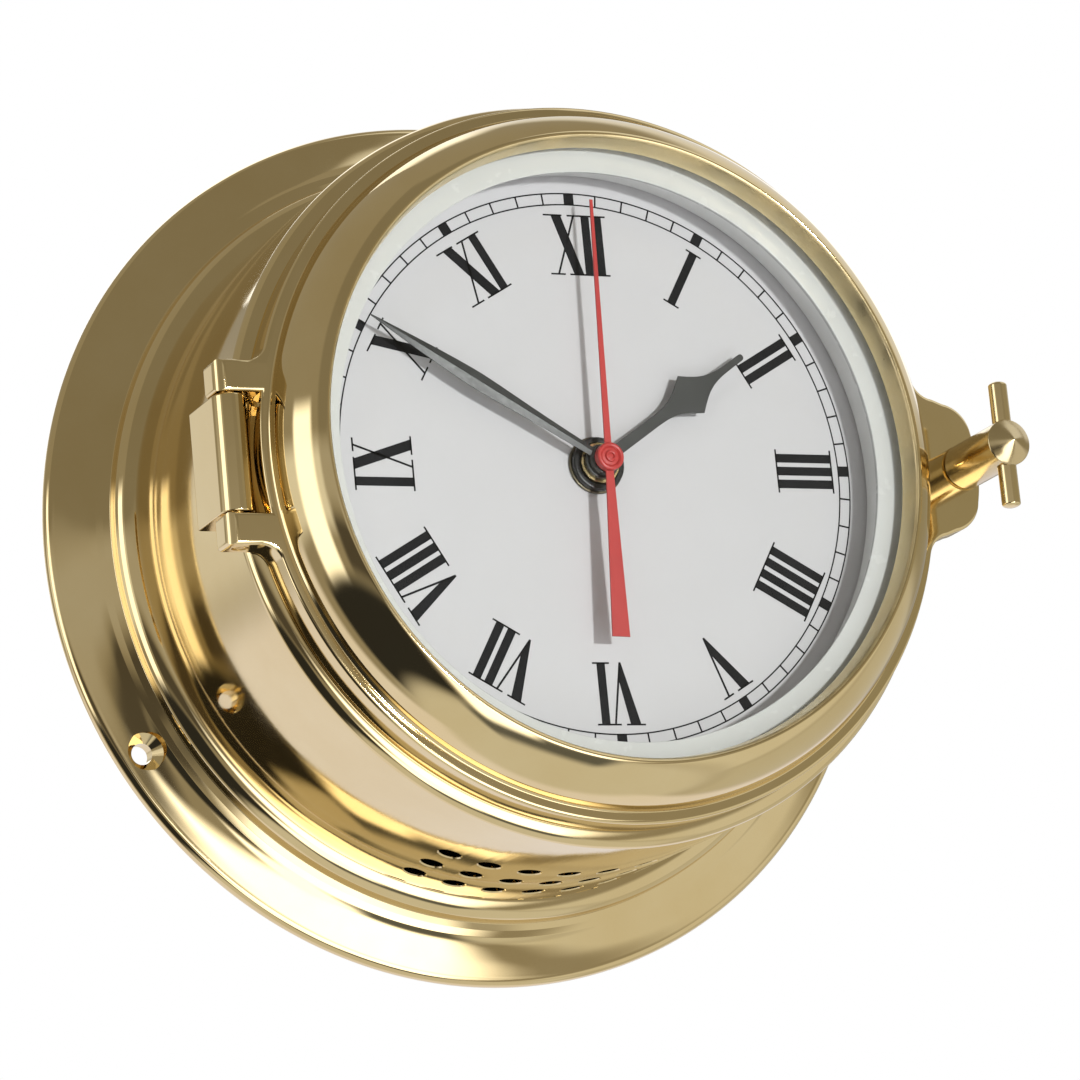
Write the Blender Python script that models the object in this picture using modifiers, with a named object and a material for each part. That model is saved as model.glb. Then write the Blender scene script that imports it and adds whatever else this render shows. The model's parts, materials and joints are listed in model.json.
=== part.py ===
"""A ship's deck clock: a flanged brass case, a hinged glazed bezel held by a
T-headed clamp screw, a dial with three hands and a battery quartz movement.

All lengths here are millimetres and are turned into metres where a mesh is made.
Every part is drawn in the clock's own face frame: x to the right, y up and z out
of the wall towards the reader. One parent empty turns that frame so that the
wall is the plane Y = 0, +Y goes into the wall and +Z is up.
"""

import math

import bmesh
import bpy
from mathutils import Matrix, Vector

MM = 0.001

# ---- Driving dimensions ------------------------------------------------------
FLANGE_RADIUS = 90.0
LIP_ROUND = 1.6
BARREL_RADIUS = 73.9
BARREL_WALL = 1.8
CASE_FRONT = 63.5
DIAL_FACE = 65.4
DIAL_RADIUS = 61.5
BEZEL_BACK = 63.8
BEZEL_FRONT = 82.2
BEZEL_PLATE_FRONT = 70.5
BEZEL_PLATE_RADIUS = 71.0
GLASS_FRONT = 77.1
GLASS_THICKNESS = 2.2

GAP = 0.3                  # left between pieces that touch on the real clock
STEPS = 60                 # facets round the flange, bezel and dial
BARREL_STEPS = 72          # facets round the barrel, which also carries the vent holes
SMALL_STEPS = 16           # facets round pins, screws and wheels

# ---- Hinge, at nine o'clock --------------------------------------------------
HINGE_X = -75.0
HINGE_Z = 67.2
KNUCKLE_RADIUS = 3.3
KNUCKLE_HALF = 11.3
BLOCK_BACK = 54.6
EAR_INNER = 11.6
EAR_OUTER = 17.8
EAR_FILLET = 4.0
RIM_ROOT = 70.3              # the lugs start here, inside the rim and outside the seal's groove
PIN_RADIUS = 1.5
PIN_BORE = 1.56

# ---- Clamp screw, at three o'clock -------------------------------------------
CLAMP_X = 78.2
LUG_TIP_RADIUS = 81.6
LUG_HALF_HEIGHT = 13.2
LUG_CORNER = 7.0
LUG_FILLET = 5.0
LUG_HOLE = 2.5
STEM_RADIUS = 4.6
STEM_TOP = 88.8
HEAD_TOP = 91.0
SHANK_RADIUS = 2.4
THREAD_RADIUS = 2.2
THREAD_BORE = 2.8
BOSS_RADIUS = 6.0
BOSS_FRONT = 63.4
BOSS_BACK = 49.5
BOSS_COUNTERBORE = 4.5
COUNTERBORE_FLOOR = 56.2
TOMMY_RADIUS = 1.85
TOMMY_LENGTH = 25.4
TOMMY_Z = 86.8

# ---- Flange holes and vents ---------------------------------------------------
MOUNT_HOLE_CIRCLE = 84.8
MOUNT_HOLE_RADIUS = 2.15
MOUNT_SINK_RADIUS = 3.9
MOUNT_SURFACE_Z = 4.75
MOUNT_HOLE_CLOCKS = (0, 120, 240)
VENT_RADIUS = 2.25
VENT_ROWS = (36.3, 27.3, 18.7)
VENTS_PER_ROW = 7
VENT_PITCH_DEG = 6.55

# ---- Screws of the dial and of the back plate ---------------------------------
DIAL_SCREW_CIRCLE = 63.3
DIAL_SCREW_CLOCKS = (0, 120, 240)
BACK_SCREW_CIRCLE = 68.0
BACK_SCREW_CLOCKS = (60, 180, 300)

# ---- Quartz movement ----------------------------------------------------------
MOVEMENT_HALF = 28.0
MOVEMENT_FRONT = 62.9
MOVEMENT_BACK = 46.9
MOVEMENT_WALL = 1.2
BATTERY_Y = -19.5
BATTERY_Z = 54.3
BATTERY_RADIUS = 7.1
COIL_Y = 19.5
COIL_Z = 53.2
STATOR_LOW = 50.9
STATOR_HIGH = 51.7

# ---- Hands: blade as (back, front), hub as (radius, bore, back, front) --------
HOUR_BLADE = (68.25, 68.75)
HOUR_HUB = (3.4, 2.35, 68.1, 69.0)
MINUTE_BLADE = (69.9, 70.4)
MINUTE_HUB = (3.0, 1.4, 69.4, 70.7)
SECOND_BLADE = (71.5, 71.9)
SECOND_HUB = (2.75, 0.6, 71.3, 73.0)

# ---- Hands at rest, as clock angles in degrees from twelve --------------------
HOUR_ANGLE = 55.9
MINUTE_ANGLE = 300.9
SECOND_ANGLE = 1.9

# ---- Wheel train: (pitch radius of each wheel or pinion) ----------------------
TOOTH_CLEARANCE = 0.15     # the wheels are plain discs just inside their pitch circles
TRAIN_CENTRES = 7.5        # centre arbor to third wheel, and to motion wheel
SECOND_TO_THIRD = 60 ** 0.5
THIRD_PITCH = TRAIN_CENTRES / (1 + 1 / SECOND_TO_THIRD)
THIRD_PINION = TRAIN_CENTRES - THIRD_PITCH
MOTION_PITCH = TRAIN_CENTRES * 3 / 4
CANNON_PINION = TRAIN_CENTRES - MOTION_PITCH
HOUR_PITCH = TRAIN_CENTRES * 4 / 5
MOTION_PINION = TRAIN_CENTRES - HOUR_PITCH
SECOND_PITCH = 5.4
INTERMEDIATE_PINION = 0.9
INTERMEDIATE_PITCH = 4.0
ROTOR_PINION = 0.8
KNOB_PITCH = 2.0


def polar(radius, angle_deg, centre=(0.0, 0.0)):
    """The point at a distance and a mathematical angle from a centre."""
    angle = math.radians(angle_deg)
    return (centre[0] + radius * math.cos(angle), centre[1] + radius * math.sin(angle))


def clock_point(radius, clock_deg):
    """The point on the face at a clock angle, which runs clockwise from twelve."""
    return polar(radius, 90.0 - clock_deg)


THIRD_AXIS = polar(TRAIN_CENTRES, 180)
MOTION_AXIS = polar(TRAIN_CENTRES, -20)
INTERMEDIATE_AXIS = polar(SECOND_PITCH + INTERMEDIATE_PINION, 55)
ROTOR_AXIS = polar(INTERMEDIATE_PITCH + ROTOR_PINION, 90, INTERMEDIATE_AXIS)
KNOB_AXIS = polar(MOTION_PITCH + KNOB_PITCH, 20, MOTION_AXIS)


# ---- Scene helpers ------------------------------------------------------------
def clear_scene():
    for old in list(bpy.data.objects):
        bpy.data.objects.remove(old, do_unlink=True)


def new_collection(name):
    group = bpy.data.collections.new(name)
    bpy.context.scene.collection.children.link(group)
    return group


def make_material(name, colour, roughness, metallic=0.0, alpha=1.0):
    material = bpy.data.materials.new(name)
    material.use_nodes = True
    shader = material.node_tree.nodes["Principled BSDF"]
    shader.inputs["Base Color"].default_value = (*colour, 1.0)
    shader.inputs["Roughness"].default_value = roughness
    shader.inputs["Metallic"].default_value = metallic
    shader.inputs["Alpha"].default_value = alpha
    return material


def add_object(name, data, group, material=None, parent=None, place=(0, 0, 0), turn=(0, 0, 0)):
    """Link data as an object, placed in its parent's frame in millimetres and degrees."""
    thing = bpy.data.objects.new(name, data)
    group.objects.link(thing)
    thing.parent = parent
    thing.location = Vector(place) * MM
    thing.rotation_euler = [math.radians(angle) for angle in turn]
    if material is not None:
        data.materials.append(material)
    return thing


def add_empty(name, group, parent=None, place=(0, 0, 0), turn=(0, 0, 0)):
    return add_object(name, None, group, None, parent, place, turn)


def as_cutter(thing):
    thing.hide_render = True
    thing.display_type = "WIRE"
    return thing


def boolean(target, tool, operation):
    step = target.modifiers.new(operation.lower() + "_" + tool.name, "BOOLEAN")
    step.operation = operation
    step.solver = "EXACT"
    step.object = tool


# ---- Mesh helpers -------------------------------------------------------------
def profile_mesh(name, points):
    """A turned piece's profile: (radius, z) points, down its outer side first.

    A profile that starts and ends on the axis stays open; any other one closes."""
    mesh = bpy.data.meshes.new(name)
    vertices = [(radius * MM, 0.0, z * MM) for radius, z in points]
    edges = [(i, i + 1) for i in range(len(points) - 1)]
    if points[0][0] > 0:
        edges.append((len(points) - 1, 0))
    mesh.from_pydata(vertices, edges, [])
    return mesh


def add_screw(thing, steps):
    spin = thing.modifiers.new("turn", "SCREW")
    spin.angle = 2 * math.pi
    spin.steps = steps
    spin.render_steps = steps
    spin.use_merge_vertices = True
    spin.merge_threshold = 0.00001
    spin.use_smooth_shade = True
    return spin


def turned(name, points, group, material=None, parent=None, place=(0, 0, 0), turn=(0, 0, 0),
           steps=SMALL_STEPS):
    thing = add_object(name, profile_mesh(name, points), group, material, parent, place, turn)
    add_screw(thing, steps)
    return thing


def tube_points(outer, inner, low, high):
    """The profile of a plain ring."""
    return [(outer, high), (outer, low), (inner, low), (inner, high)]


def rod_points(radius, low, high):
    """The profile of a plain solid cylinder."""
    return [(0, high), (radius, high), (radius, low), (0, low)]


def ellipse_arc(centre, half_width, half_height, start_deg, end_deg, count):
    """Points on part of an ellipse, both ends included."""
    points = []
    for i in range(count):
        angle = math.radians(start_deg + (end_deg - start_deg) * i / (count - 1))
        points.append((centre[0] + half_width * math.cos(angle),
                       centre[1] + half_height * math.sin(angle)))
    return points


def box_mesh(name, low, high, bevel=0.0):
    mesh = bpy.data.meshes.new(name)
    shape = bmesh.new()
    size = [(b - a) * MM for a, b in zip(low, high)]
    middle = [(a + b) / 2 * MM for a, b in zip(low, high)]
    place = Matrix.Translation(middle) @ Matrix.Diagonal((*size, 1.0))
    bmesh.ops.create_cube(shape, size=1.0, matrix=place)
    if bevel:
        bmesh.ops.bevel(shape, geom=shape.edges[:], offset=bevel * MM, segments=1, affect="EDGES")
    shape.to_mesh(mesh)
    shape.free()
    return mesh


def box(name, low, high, group, material=None, parent=None, place=(0, 0, 0), bevel=0.0):
    return add_object(name, box_mesh(name, low, high, bevel), group, material, parent, place)


def outline_mesh(name, outlines, low, high, group):
    """A flat plate between two levels, from closed outlines: the first is the edge, the rest holes."""
    curve = bpy.data.curves.new(name, "CURVE")
    curve.dimensions = "2D"
    curve.fill_mode = "BOTH"
    curve.extrude = (high - low) / 2 * MM
    for outline in outlines:
        spline = curve.splines.new("POLY")
        spline.points.add(len(outline) - 1)
        for point, (x, y) in zip(spline.points, outline):
            point.co = (x * MM, y * MM, 0.0, 1.0)
        spline.use_cyclic_u = True
    holder = bpy.data.objects.new(name + "_outline", curve)
    group.objects.link(holder)
    bpy.context.view_layer.update()
    mesh = bpy.data.meshes.new_from_object(holder.evaluated_get(bpy.context.evaluated_depsgraph_get()))
    mesh.name = name
    bpy.data.objects.remove(holder, do_unlink=True)
    shape = bmesh.new()
    shape.from_mesh(mesh)
    bmesh.ops.remove_doubles(shape, verts=shape.verts[:], dist=0.00001)
    bmesh.ops.translate(shape, verts=shape.verts[:], vec=(0.0, 0.0, (low + high) / 2 * MM))
    bmesh.ops.recalc_face_normals(shape, faces=shape.faces[:])
    shape.to_mesh(mesh)
    shape.free()
    return mesh


def plate(name, outlines, low, high, group, material=None, parent=None, place=(0, 0, 0), turn=(0, 0, 0)):
    mesh = outline_mesh(name, outlines, low, high, group)
    return add_object(name, mesh, group, material, parent, place, turn)


def circle_outline(radius, count, centre=(0.0, 0.0)):
    return [polar(radius, 360.0 * i / count, centre) for i in range(count)]


# ---- Case ---------------------------------------------------------------------
def flange_profile():
    """The flange: a rounded lip, a shallow cove, a small step and a quarter-round moulding."""
    moulding = ellipse_arc((BARREL_RADIUS + GAP, 9.5), 4.1, 3.9, 84, 0, 5)
    lip_radius = FLANGE_RADIUS - LIP_ROUND
    cove = [(80.8, 7.0), (82.4, 5.9), (85.4, 4.6), (lip_radius, 3.8)]
    lip = ellipse_arc((lip_radius, 1.8), LIP_ROUND, 2.0, 75, -60, 6)
    foot = [(FLANGE_RADIUS - 1.0, 0.0), (BARREL_RADIUS + GAP, 0.0)]
    return moulding + cove + lip + foot


def build_flange(group, cutters, brass, frame):
    flange = turned("mounting_flange", flange_profile(), group, brass, frame, steps=STEPS)
    sink_depth = MOUNT_SINK_RADIUS - MOUNT_HOLE_RADIUS
    hole = [(0, 12.0), (MOUNT_SINK_RADIUS, 12.0), (MOUNT_SINK_RADIUS, MOUNT_SURFACE_Z),
            (MOUNT_HOLE_RADIUS, MOUNT_SURFACE_Z - sink_depth), (MOUNT_HOLE_RADIUS, -2.0), (0, -2.0)]
    for number, clock in enumerate(MOUNT_HOLE_CLOCKS, start=1):
        x, y = clock_point(MOUNT_HOLE_CIRCLE, clock)
        tool = as_cutter(turned(f"mount_hole_{number}", hole, cutters, None, frame, (x, y, 0)))
        boolean(flange, tool, "DIFFERENCE")


def barrel_profile():
    """A spun tube with a rear lip for the back plate and a front lip that carries the dial."""
    bore = BARREL_RADIUS - BARREL_WALL
    shoulder = ellipse_arc((70.5, 60.9), BARREL_RADIUS - 70.5, CASE_FRONT - 60.9, 90, 0, 5)
    return shoulder + [(BARREL_RADIUS, GAP), (bore, GAP), (bore, 2.5), (65.0, 2.5), (65.0, 4.3),
                       (bore, 4.3), (bore, 61.5), (52.0, 61.5), (52.0, CASE_FRONT)]


def barrel_clearance():
    """The barrel's outside with a gap round it, to shape what sits against it."""
    shoulder = ellipse_arc((70.5, 60.9), BARREL_RADIUS - 70.5 + GAP, CASE_FRONT - 60.9 + GAP, 90, 0, 5)
    return [(0, CASE_FRONT + GAP)] + shoulder + [(BARREL_RADIUS + GAP, 40), (0, 40)]


def vent_cutter(cutters, frame):
    """One mesh of radial rods, a rod for each vent hole in the barrel's underside."""
    mesh = bpy.data.meshes.new("vent_rods")
    shape = bmesh.new()
    first = 180.0 - VENT_PITCH_DEG * (VENTS_PER_ROW - 1) / 2
    for row_z in VENT_ROWS:
        for i in range(VENTS_PER_ROW):
            x, y = clock_point(BARREL_RADIUS, first + VENT_PITCH_DEG * i)
            outward = Vector((x, y, 0.0)).to_track_quat("Z", "Y").to_matrix().to_4x4()
            place = Matrix.Translation(Vector((x, y, row_z)) * MM) @ outward
            bmesh.ops.create_cone(shape, cap_ends=True, segments=12, radius1=VENT_RADIUS * MM,
                                  radius2=VENT_RADIUS * MM, depth=10 * MM, matrix=place)
    shape.to_mesh(mesh)
    shape.free()
    return as_cutter(add_object("vent_rods", mesh, cutters, None, frame))


def build_barrel(group, cutters, brass, frame):
    barrel = turned("case_barrel", barrel_profile(), group, brass, frame, steps=BARREL_STEPS)
    boolean(barrel, vent_cutter(cutters, frame), "DIFFERENCE")
    seat = turned("boss_seat", rod_points(BOSS_RADIUS + GAP, BOSS_BACK - GAP, 70), cutters, None,
                  frame, (CLAMP_X, 0, 0))
    boolean(barrel, as_cutter(seat), "DIFFERENCE")
    for number, clock in enumerate(DIAL_SCREW_CLOCKS, start=1):
        x, y = clock_point(DIAL_SCREW_CIRCLE, clock)
        tool = turned(f"dial_screw_bore_{number}", rod_points(1.3, 58, 70), cutters, None, frame, (x, y, 0),
                      steps=12)
        boolean(barrel, as_cutter(tool), "DIFFERENCE")
    for number, clock in enumerate(BACK_SCREW_CLOCKS, start=1):
        x, y = clock_point(BACK_SCREW_CIRCLE, clock)
        tool = turned(f"back_screw_bore_{number}", rod_points(1.5, 1.5, 8), cutters, None, frame, (x, y, 0),
                      steps=12)
        boolean(barrel, as_cutter(tool), "DIFFERENCE")


def build_back(group, cutters, brass, steel, frame):
    """The back plate, flush with the flange's rear face, and its countersunk screws."""
    back = turned("back_plate", rod_points(71.7, 0.0, 2.2), group, brass, frame, steps=48)
    sink = [(0, 4), (1.6, 4), (1.6, 1.6), (3.2, 0.0), (3.2, -1.0), (0, -1.0)]
    screw = [(0, 6.0), (1.3, 6.0), (1.3, 1.6), (2.85, 0.05), (0, 0.05)]
    for number, clock in enumerate(BACK_SCREW_CLOCKS, start=1):
        x, y = clock_point(BACK_SCREW_CIRCLE, clock)
        tool = turned(f"back_sink_{number}", sink, cutters, None, frame, (x, y, 0), steps=12)
        boolean(back, as_cutter(tool), "DIFFERENCE")
        turned(f"back_screw_{number}", screw, group, steel, frame, (x, y, 0), steps=12)


# ---- Hinge --------------------------------------------------------------------
def knuckle_outline():
    """Side view of the fixed knuckle and its block, as (x, z) from the pin."""
    back = BLOCK_BACK - HINGE_Z
    crown = ellipse_arc((0, 0), KNUCKLE_RADIUS, KNUCKLE_RADIUS, -10, 180, 12)
    behind_bezel = BEZEL_BACK - GAP - HINGE_Z
    flat_side = [(-KNUCKLE_RADIUS, back + 0.8), (0.8 - KNUCKLE_RADIUS, back)]
    return crown + flat_side + [(6.0, back), (6.0, behind_bezel - 0.2), (KNUCKLE_RADIUS, behind_bezel)]


def build_hinge(group, cutters, brass, steel, frame):
    """The fixed half of the hinge, a flat-sided block with its knuckle, and the pin."""
    block = plate("hinge_block", [knuckle_outline(), circle_outline(PIN_BORE, 16)], -KNUCKLE_HALF,
                  KNUCKLE_HALF, group, brass, frame, (HINGE_X, 0, HINGE_Z), (90, 0, 0))
    shell = turned("barrel_round", barrel_clearance(), cutters, None, frame,
                   steps=BARREL_STEPS)
    boolean(block, as_cutter(shell), "DIFFERENCE")
    tip = PIN_RADIUS - 0.2
    side = EAR_OUTER - 0.3
    ends = [(0, EAR_OUTER), (tip, EAR_OUTER), (PIN_RADIUS, side), (PIN_RADIUS, -side), (tip, -EAR_OUTER),
            (0, -EAR_OUTER)]
    turned("hinge_pin", ends, group, steel, frame, (HINGE_X, 0, HINGE_Z), (90, 0, 0), steps=16)


# ---- Bezel --------------------------------------------------------------------
def bezel_bead():
    """A small round nose beside the glass and a long curved flank, meeting on one tangent."""
    nose_radius = 1.2
    flank_radius = 15.7
    meeting_deg = 54
    nose = (61.9, BEZEL_FRONT - nose_radius)
    back = flank_radius - nose_radius
    flank = (nose[0] - back * math.cos(math.radians(meeting_deg)),
             nose[1] - back * math.sin(math.radians(meeting_deg)))
    return (ellipse_arc(nose, nose_radius, nose_radius, 175, meeting_deg, 5)
            + ellipse_arc(flank, flank_radius, flank_radius, meeting_deg, 6, 7)[1:])


def bezel_profile():
    """A flat back plate under the bead, with a rebate inside for the glass."""
    rim_front = BEZEL_PLATE_FRONT - 0.1
    outside = [(69.3, rim_front), (BEZEL_PLATE_RADIUS - 0.5, rim_front),
               (BEZEL_PLATE_RADIUS, rim_front - 0.5), (BEZEL_PLATE_RADIUS, BEZEL_BACK)]
    groove = [(69.4, BEZEL_BACK), (69.4, 65.3), (67.2, 65.3), (67.2, BEZEL_BACK)]
    inside = [(66.0, BEZEL_BACK), (66.0, 72.6), (63.1, 72.6), (63.1, GLASS_FRONT + 0.2),
              (60.3, GLASS_FRONT + 0.2), (60.3, 79.0)]
    return bezel_bead() + outside + groove + inside


def ear_fillet():
    """The hollow sweep from the rim of the bezel plate out to the end of an ear."""
    centre_y = EAR_OUTER + EAR_FILLET
    centre_x = -math.sqrt((BEZEL_PLATE_RADIUS + EAR_FILLET) ** 2 - centre_y ** 2)
    rim_deg = math.degrees(math.atan2(-centre_y, -centre_x))
    return ellipse_arc((centre_x, centre_y), EAR_FILLET, EAR_FILLET, rim_deg, -90, 6)


def hinge_lug_outline():
    """Two ears with a slot between them for the fixed knuckle, blended into the bezel plate."""
    left = HINGE_X - KNUCKLE_RADIUS
    upper = ear_fillet() + [(left + 0.6, EAR_OUTER), (left, EAR_OUTER - 0.6), (left, EAR_INNER)]
    slot_deg = math.degrees(math.asin(EAR_INNER / RIM_ROOT))
    slot = ellipse_arc((0, 0), RIM_ROOT + 0.15, RIM_ROOT + 0.15, 180 - slot_deg, 180 + slot_deg, 7)
    lower = [(x, -y) for x, y in reversed(upper)]
    reach = math.degrees(math.asin(upper[0][1] / BEZEL_PLATE_RADIUS)) + 1.0
    inner = ellipse_arc((0, 0), RIM_ROOT - 0.35, RIM_ROOT - 0.35, 180 + reach, 180 - reach, 13)
    return upper + slot + lower + inner


def clamp_lug_outline():
    """A rounded lug whose root sweeps into the bezel plate on each side."""
    corner_x = 73.9
    corner_y = LUG_HALF_HEIGHT - LUG_CORNER
    tip = ellipse_arc((corner_x, corner_y), LUG_CORNER, LUG_CORNER, 8, 80, 7)
    fillet_y = LUG_HALF_HEIGHT + LUG_FILLET + 0.7
    fillet_x = math.sqrt((BEZEL_PLATE_RADIUS + LUG_FILLET) ** 2 - fillet_y ** 2)
    rim_deg = 180 + math.degrees(math.atan2(fillet_y, fillet_x))
    sweep = ellipse_arc((fillet_x, fillet_y), LUG_FILLET, LUG_FILLET, 262, rim_deg, 5)
    upper = [(LUG_TIP_RADIUS, 0.0), (LUG_TIP_RADIUS - 0.2, 4.0)] + tip + sweep
    lower = [(x, -y) for x, y in reversed(upper[1:])]
    reach = math.degrees(math.asin(upper[-1][1] / BEZEL_PLATE_RADIUS)) + 1.0
    inner = ellipse_arc((0, 0), RIM_ROOT - 0.35, RIM_ROOT - 0.35, reach, -reach, 13)
    return upper + inner + lower


def build_bezel(group, cutters, brass, white, rubber, glass, frame, hinge):
    back_to_axis = (-HINGE_X, 0, -HINGE_Z)
    ring = turned("bezel_ring", bezel_profile(), group, brass, hinge, back_to_axis, steps=STEPS)
    ears = plate("hinge_ears", [hinge_lug_outline()], BEZEL_BACK, BEZEL_PLATE_FRONT, cutters, None, frame)
    lug = plate("clamp_lug", [clamp_lug_outline()], BEZEL_BACK, BEZEL_PLATE_FRONT, cutters, None, frame)
    boolean(ring, as_cutter(ears), "UNION")
    boolean(ring, as_cutter(lug), "UNION")
    bore = turned("pin_bore", rod_points(PIN_BORE, -25, 25), cutters, None, frame, (HINGE_X, 0, HINGE_Z),
                  (90, 0, 0), steps=16)
    hole = turned("lug_hole", rod_points(LUG_HOLE, 60, 75), cutters, None, frame, (CLAMP_X, 0, 0))
    boolean(ring, as_cutter(bore), "DIFFERENCE")
    boolean(ring, as_cutter(hole), "DIFFERENCE")

    glass_back = GLASS_FRONT - GLASS_THICKNESS
    turned("glass", rod_points(62.8, glass_back, GLASS_FRONT), group, glass, hinge, back_to_axis, steps=48)
    retainer = [(62.8, glass_back - 0.2), (62.8, 73.2), (56.6, 73.2), (56.2, glass_back - 0.2)]
    turned("glass_retaining_ring", retainer, group, white, hinge, back_to_axis, steps=48)
    seal = tube_points(69.2, 67.4, BEZEL_BACK - 0.15, 65.1)
    turned("bezel_seal", seal, group, rubber, hinge, back_to_axis, steps=48)


# ---- Clamp --------------------------------------------------------------------
def screw_profile():
    """From the domed head down: head, stem, shank, clip groove and threaded tip."""
    dome = [(0, HEAD_TOP), (2.0, HEAD_TOP - 0.55), (3.6, HEAD_TOP - 1.35), (STEM_RADIUS, STEM_TOP)]
    foot = BEZEL_PLATE_FRONT + GAP
    shank = [(STEM_RADIUS, foot), (SHANK_RADIUS, foot), (SHANK_RADIUS, 57.9), (1.7, 57.9), (1.7, 56.7)]
    tip = [(THREAD_RADIUS, 56.7), (THREAD_RADIUS, 51.6), (THREAD_RADIUS - 0.8, 50.8), (0, 50.8)]
    return dome + shank + tip


def build_clamp(group, cutters, brass, steel, frame, clamp):
    boss_outline = [(BOSS_RADIUS, BOSS_FRONT), (BOSS_RADIUS, BOSS_BACK + 2.0), (BOSS_RADIUS - 2.0, BOSS_BACK),
                    (THREAD_BORE, BOSS_BACK), (THREAD_BORE, COUNTERBORE_FLOOR),
                    (BOSS_COUNTERBORE, COUNTERBORE_FLOOR), (BOSS_COUNTERBORE, BOSS_FRONT)]
    turned("clamp_boss", boss_outline, group, brass, frame, (CLAMP_X, 0, 0), steps=24)

    screw = turned("clamp_screw", screw_profile(), group, brass, clamp, steps=24)
    half = TOMMY_LENGTH / 2
    bore = turned("tommy_bore", rod_points(TOMMY_RADIUS + 0.1, -10, 10), cutters, None, clamp,
                  (0, 0, TOMMY_Z), (90, 0, 0), steps=16)
    boolean(screw, as_cutter(bore), "DIFFERENCE")
    bar = [(0, half), (TOMMY_RADIUS - 0.7, half), (TOMMY_RADIUS, half - 0.7),
           (TOMMY_RADIUS, 0.7 - half), (TOMMY_RADIUS - 0.7, -half), (0, -half)]
    turned("clamp_tommy_bar", bar, group, brass, clamp, (0, 0, TOMMY_Z), (90, 0, 0), steps=16)
    turned("clamp_clip", tube_points(3.7, 1.85, 56.85, 57.75), group, steel, clamp, steps=20)


# ---- Dial ---------------------------------------------------------------------


def build_dial(group, cutters, enamel, white, steel, brass, black, rubber, frame):
    dial_back = CASE_FRONT + GAP
    disc = tube_points(DIAL_RADIUS, 4.3, dial_back, DIAL_FACE)
    turned("dial_plate", disc, group, enamel, frame, steps=STEPS)
    wall = [(59.6, 72.8), (59.6, 67.4), (64.9, 67.4), (64.9, dial_back), (62.0, dial_back),
            (62.0, DIAL_FACE + 0.2), (58.5, DIAL_FACE + 0.2), (58.5, 72.8)]
    ring = turned("dial_ring", wall, group, white, frame, steps=STEPS)
    screw = [(0, 68.5), (1.0, 68.5), (1.4, 68.1), (1.4, 67.5), (0.95, 67.5), (0.95, 59.5), (0, 59.5)]
    for number, clock in enumerate(DIAL_SCREW_CLOCKS, start=1):
        x, y = clock_point(DIAL_SCREW_CIRCLE, clock)
        tool = turned(f"dial_ring_bore_{number}", rod_points(1.15, 60, 72), cutters, None, frame, (x, y, 0),
                      steps=12)
        boolean(ring, as_cutter(tool), "DIFFERENCE")
        turned(f"dial_screw_{number}", screw, group, steel, frame, (x, y, 0), steps=12)
    turned("dial_washer", tube_points(5.65, 4.15, DIAL_FACE + 0.1, 66.1), group, brass, frame)
    turned("dial_nut", tube_points(5.3, 4.15, 66.2, 67.5), group, black, frame)
    turned("dial_gasket", tube_points(7.5, 4.2, 63.1, dial_back - 0.1), group, rubber, frame)


# ---- Hands --------------------------------------------------------------------
def hour_hand_outline():
    """A slim stem, a spade with hollow sides and a tapering rounded tip, pointing up."""
    half = [(1.15, 2.4), (1.12, 15.0), (1.6, 19.6), (2.4, 21.6), (3.6, 23.6), (4.45, 24.9)]
    half += [(3.3, 26.4), (2.0, 28.5), (1.2, 30.6), (0.8, 33.0), (0.7, 38.6), (0.4, 39.46)]
    return half + [(-x, y) for x, y in reversed(half)]


def minute_hand_outline():
    """A long leaf that is widest past its middle."""
    half = [(0.8, 2.2), (1.15, 14.0), (1.65, 26.0), (1.7, 31.0), (1.35, 38.0), (0.75, 46.0), (0.25, 53.4)]
    return half + [(-x, y) for x, y in reversed(half)]


def second_hand_outline():
    """A straight needle with a counterweight that widens towards its end."""
    needle = [(0.72, 2.0), (0.33, 51.8), (-0.33, 51.8), (-0.72, 2.0)]
    tail = [(-0.8, -2.0), (-1.85, -35.2), (1.85, -35.2), (0.8, -2.0)]
    return needle + tail


def hand(name, outline, blade_levels, hub_sizes, group, cutters, material, parent):
    """A flat blade joined to a round hub with a bore for its arbor."""
    radius, bore, hub_back, hub_front = hub_sizes
    hub = turned(name, tube_points(radius, bore, hub_back, hub_front), group, material, parent)
    blade = plate(name + "_blade", [outline], *blade_levels, cutters, None, parent)
    hole = turned(name + "_hole", rod_points(bore, hub_back - 1, hub_front + 1), cutters, None, parent)
    boolean(hub, as_cutter(blade), "UNION")
    boolean(hub, as_cutter(hole), "DIFFERENCE")


def build_hands(group, cutters, black, red, axes):
    hand("hour_hand", hour_hand_outline(), HOUR_BLADE, HOUR_HUB, group, cutters, black, axes["hour"])
    hand("minute_hand", minute_hand_outline(), MINUTE_BLADE, MINUTE_HUB, group, cutters, black,
         axes["minute"])
    hand("second_hand", second_hand_outline(), SECOND_BLADE, SECOND_HUB, group, cutters, red,
         axes["second"])


# ---- Movement -----------------------------------------------------------------


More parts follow.
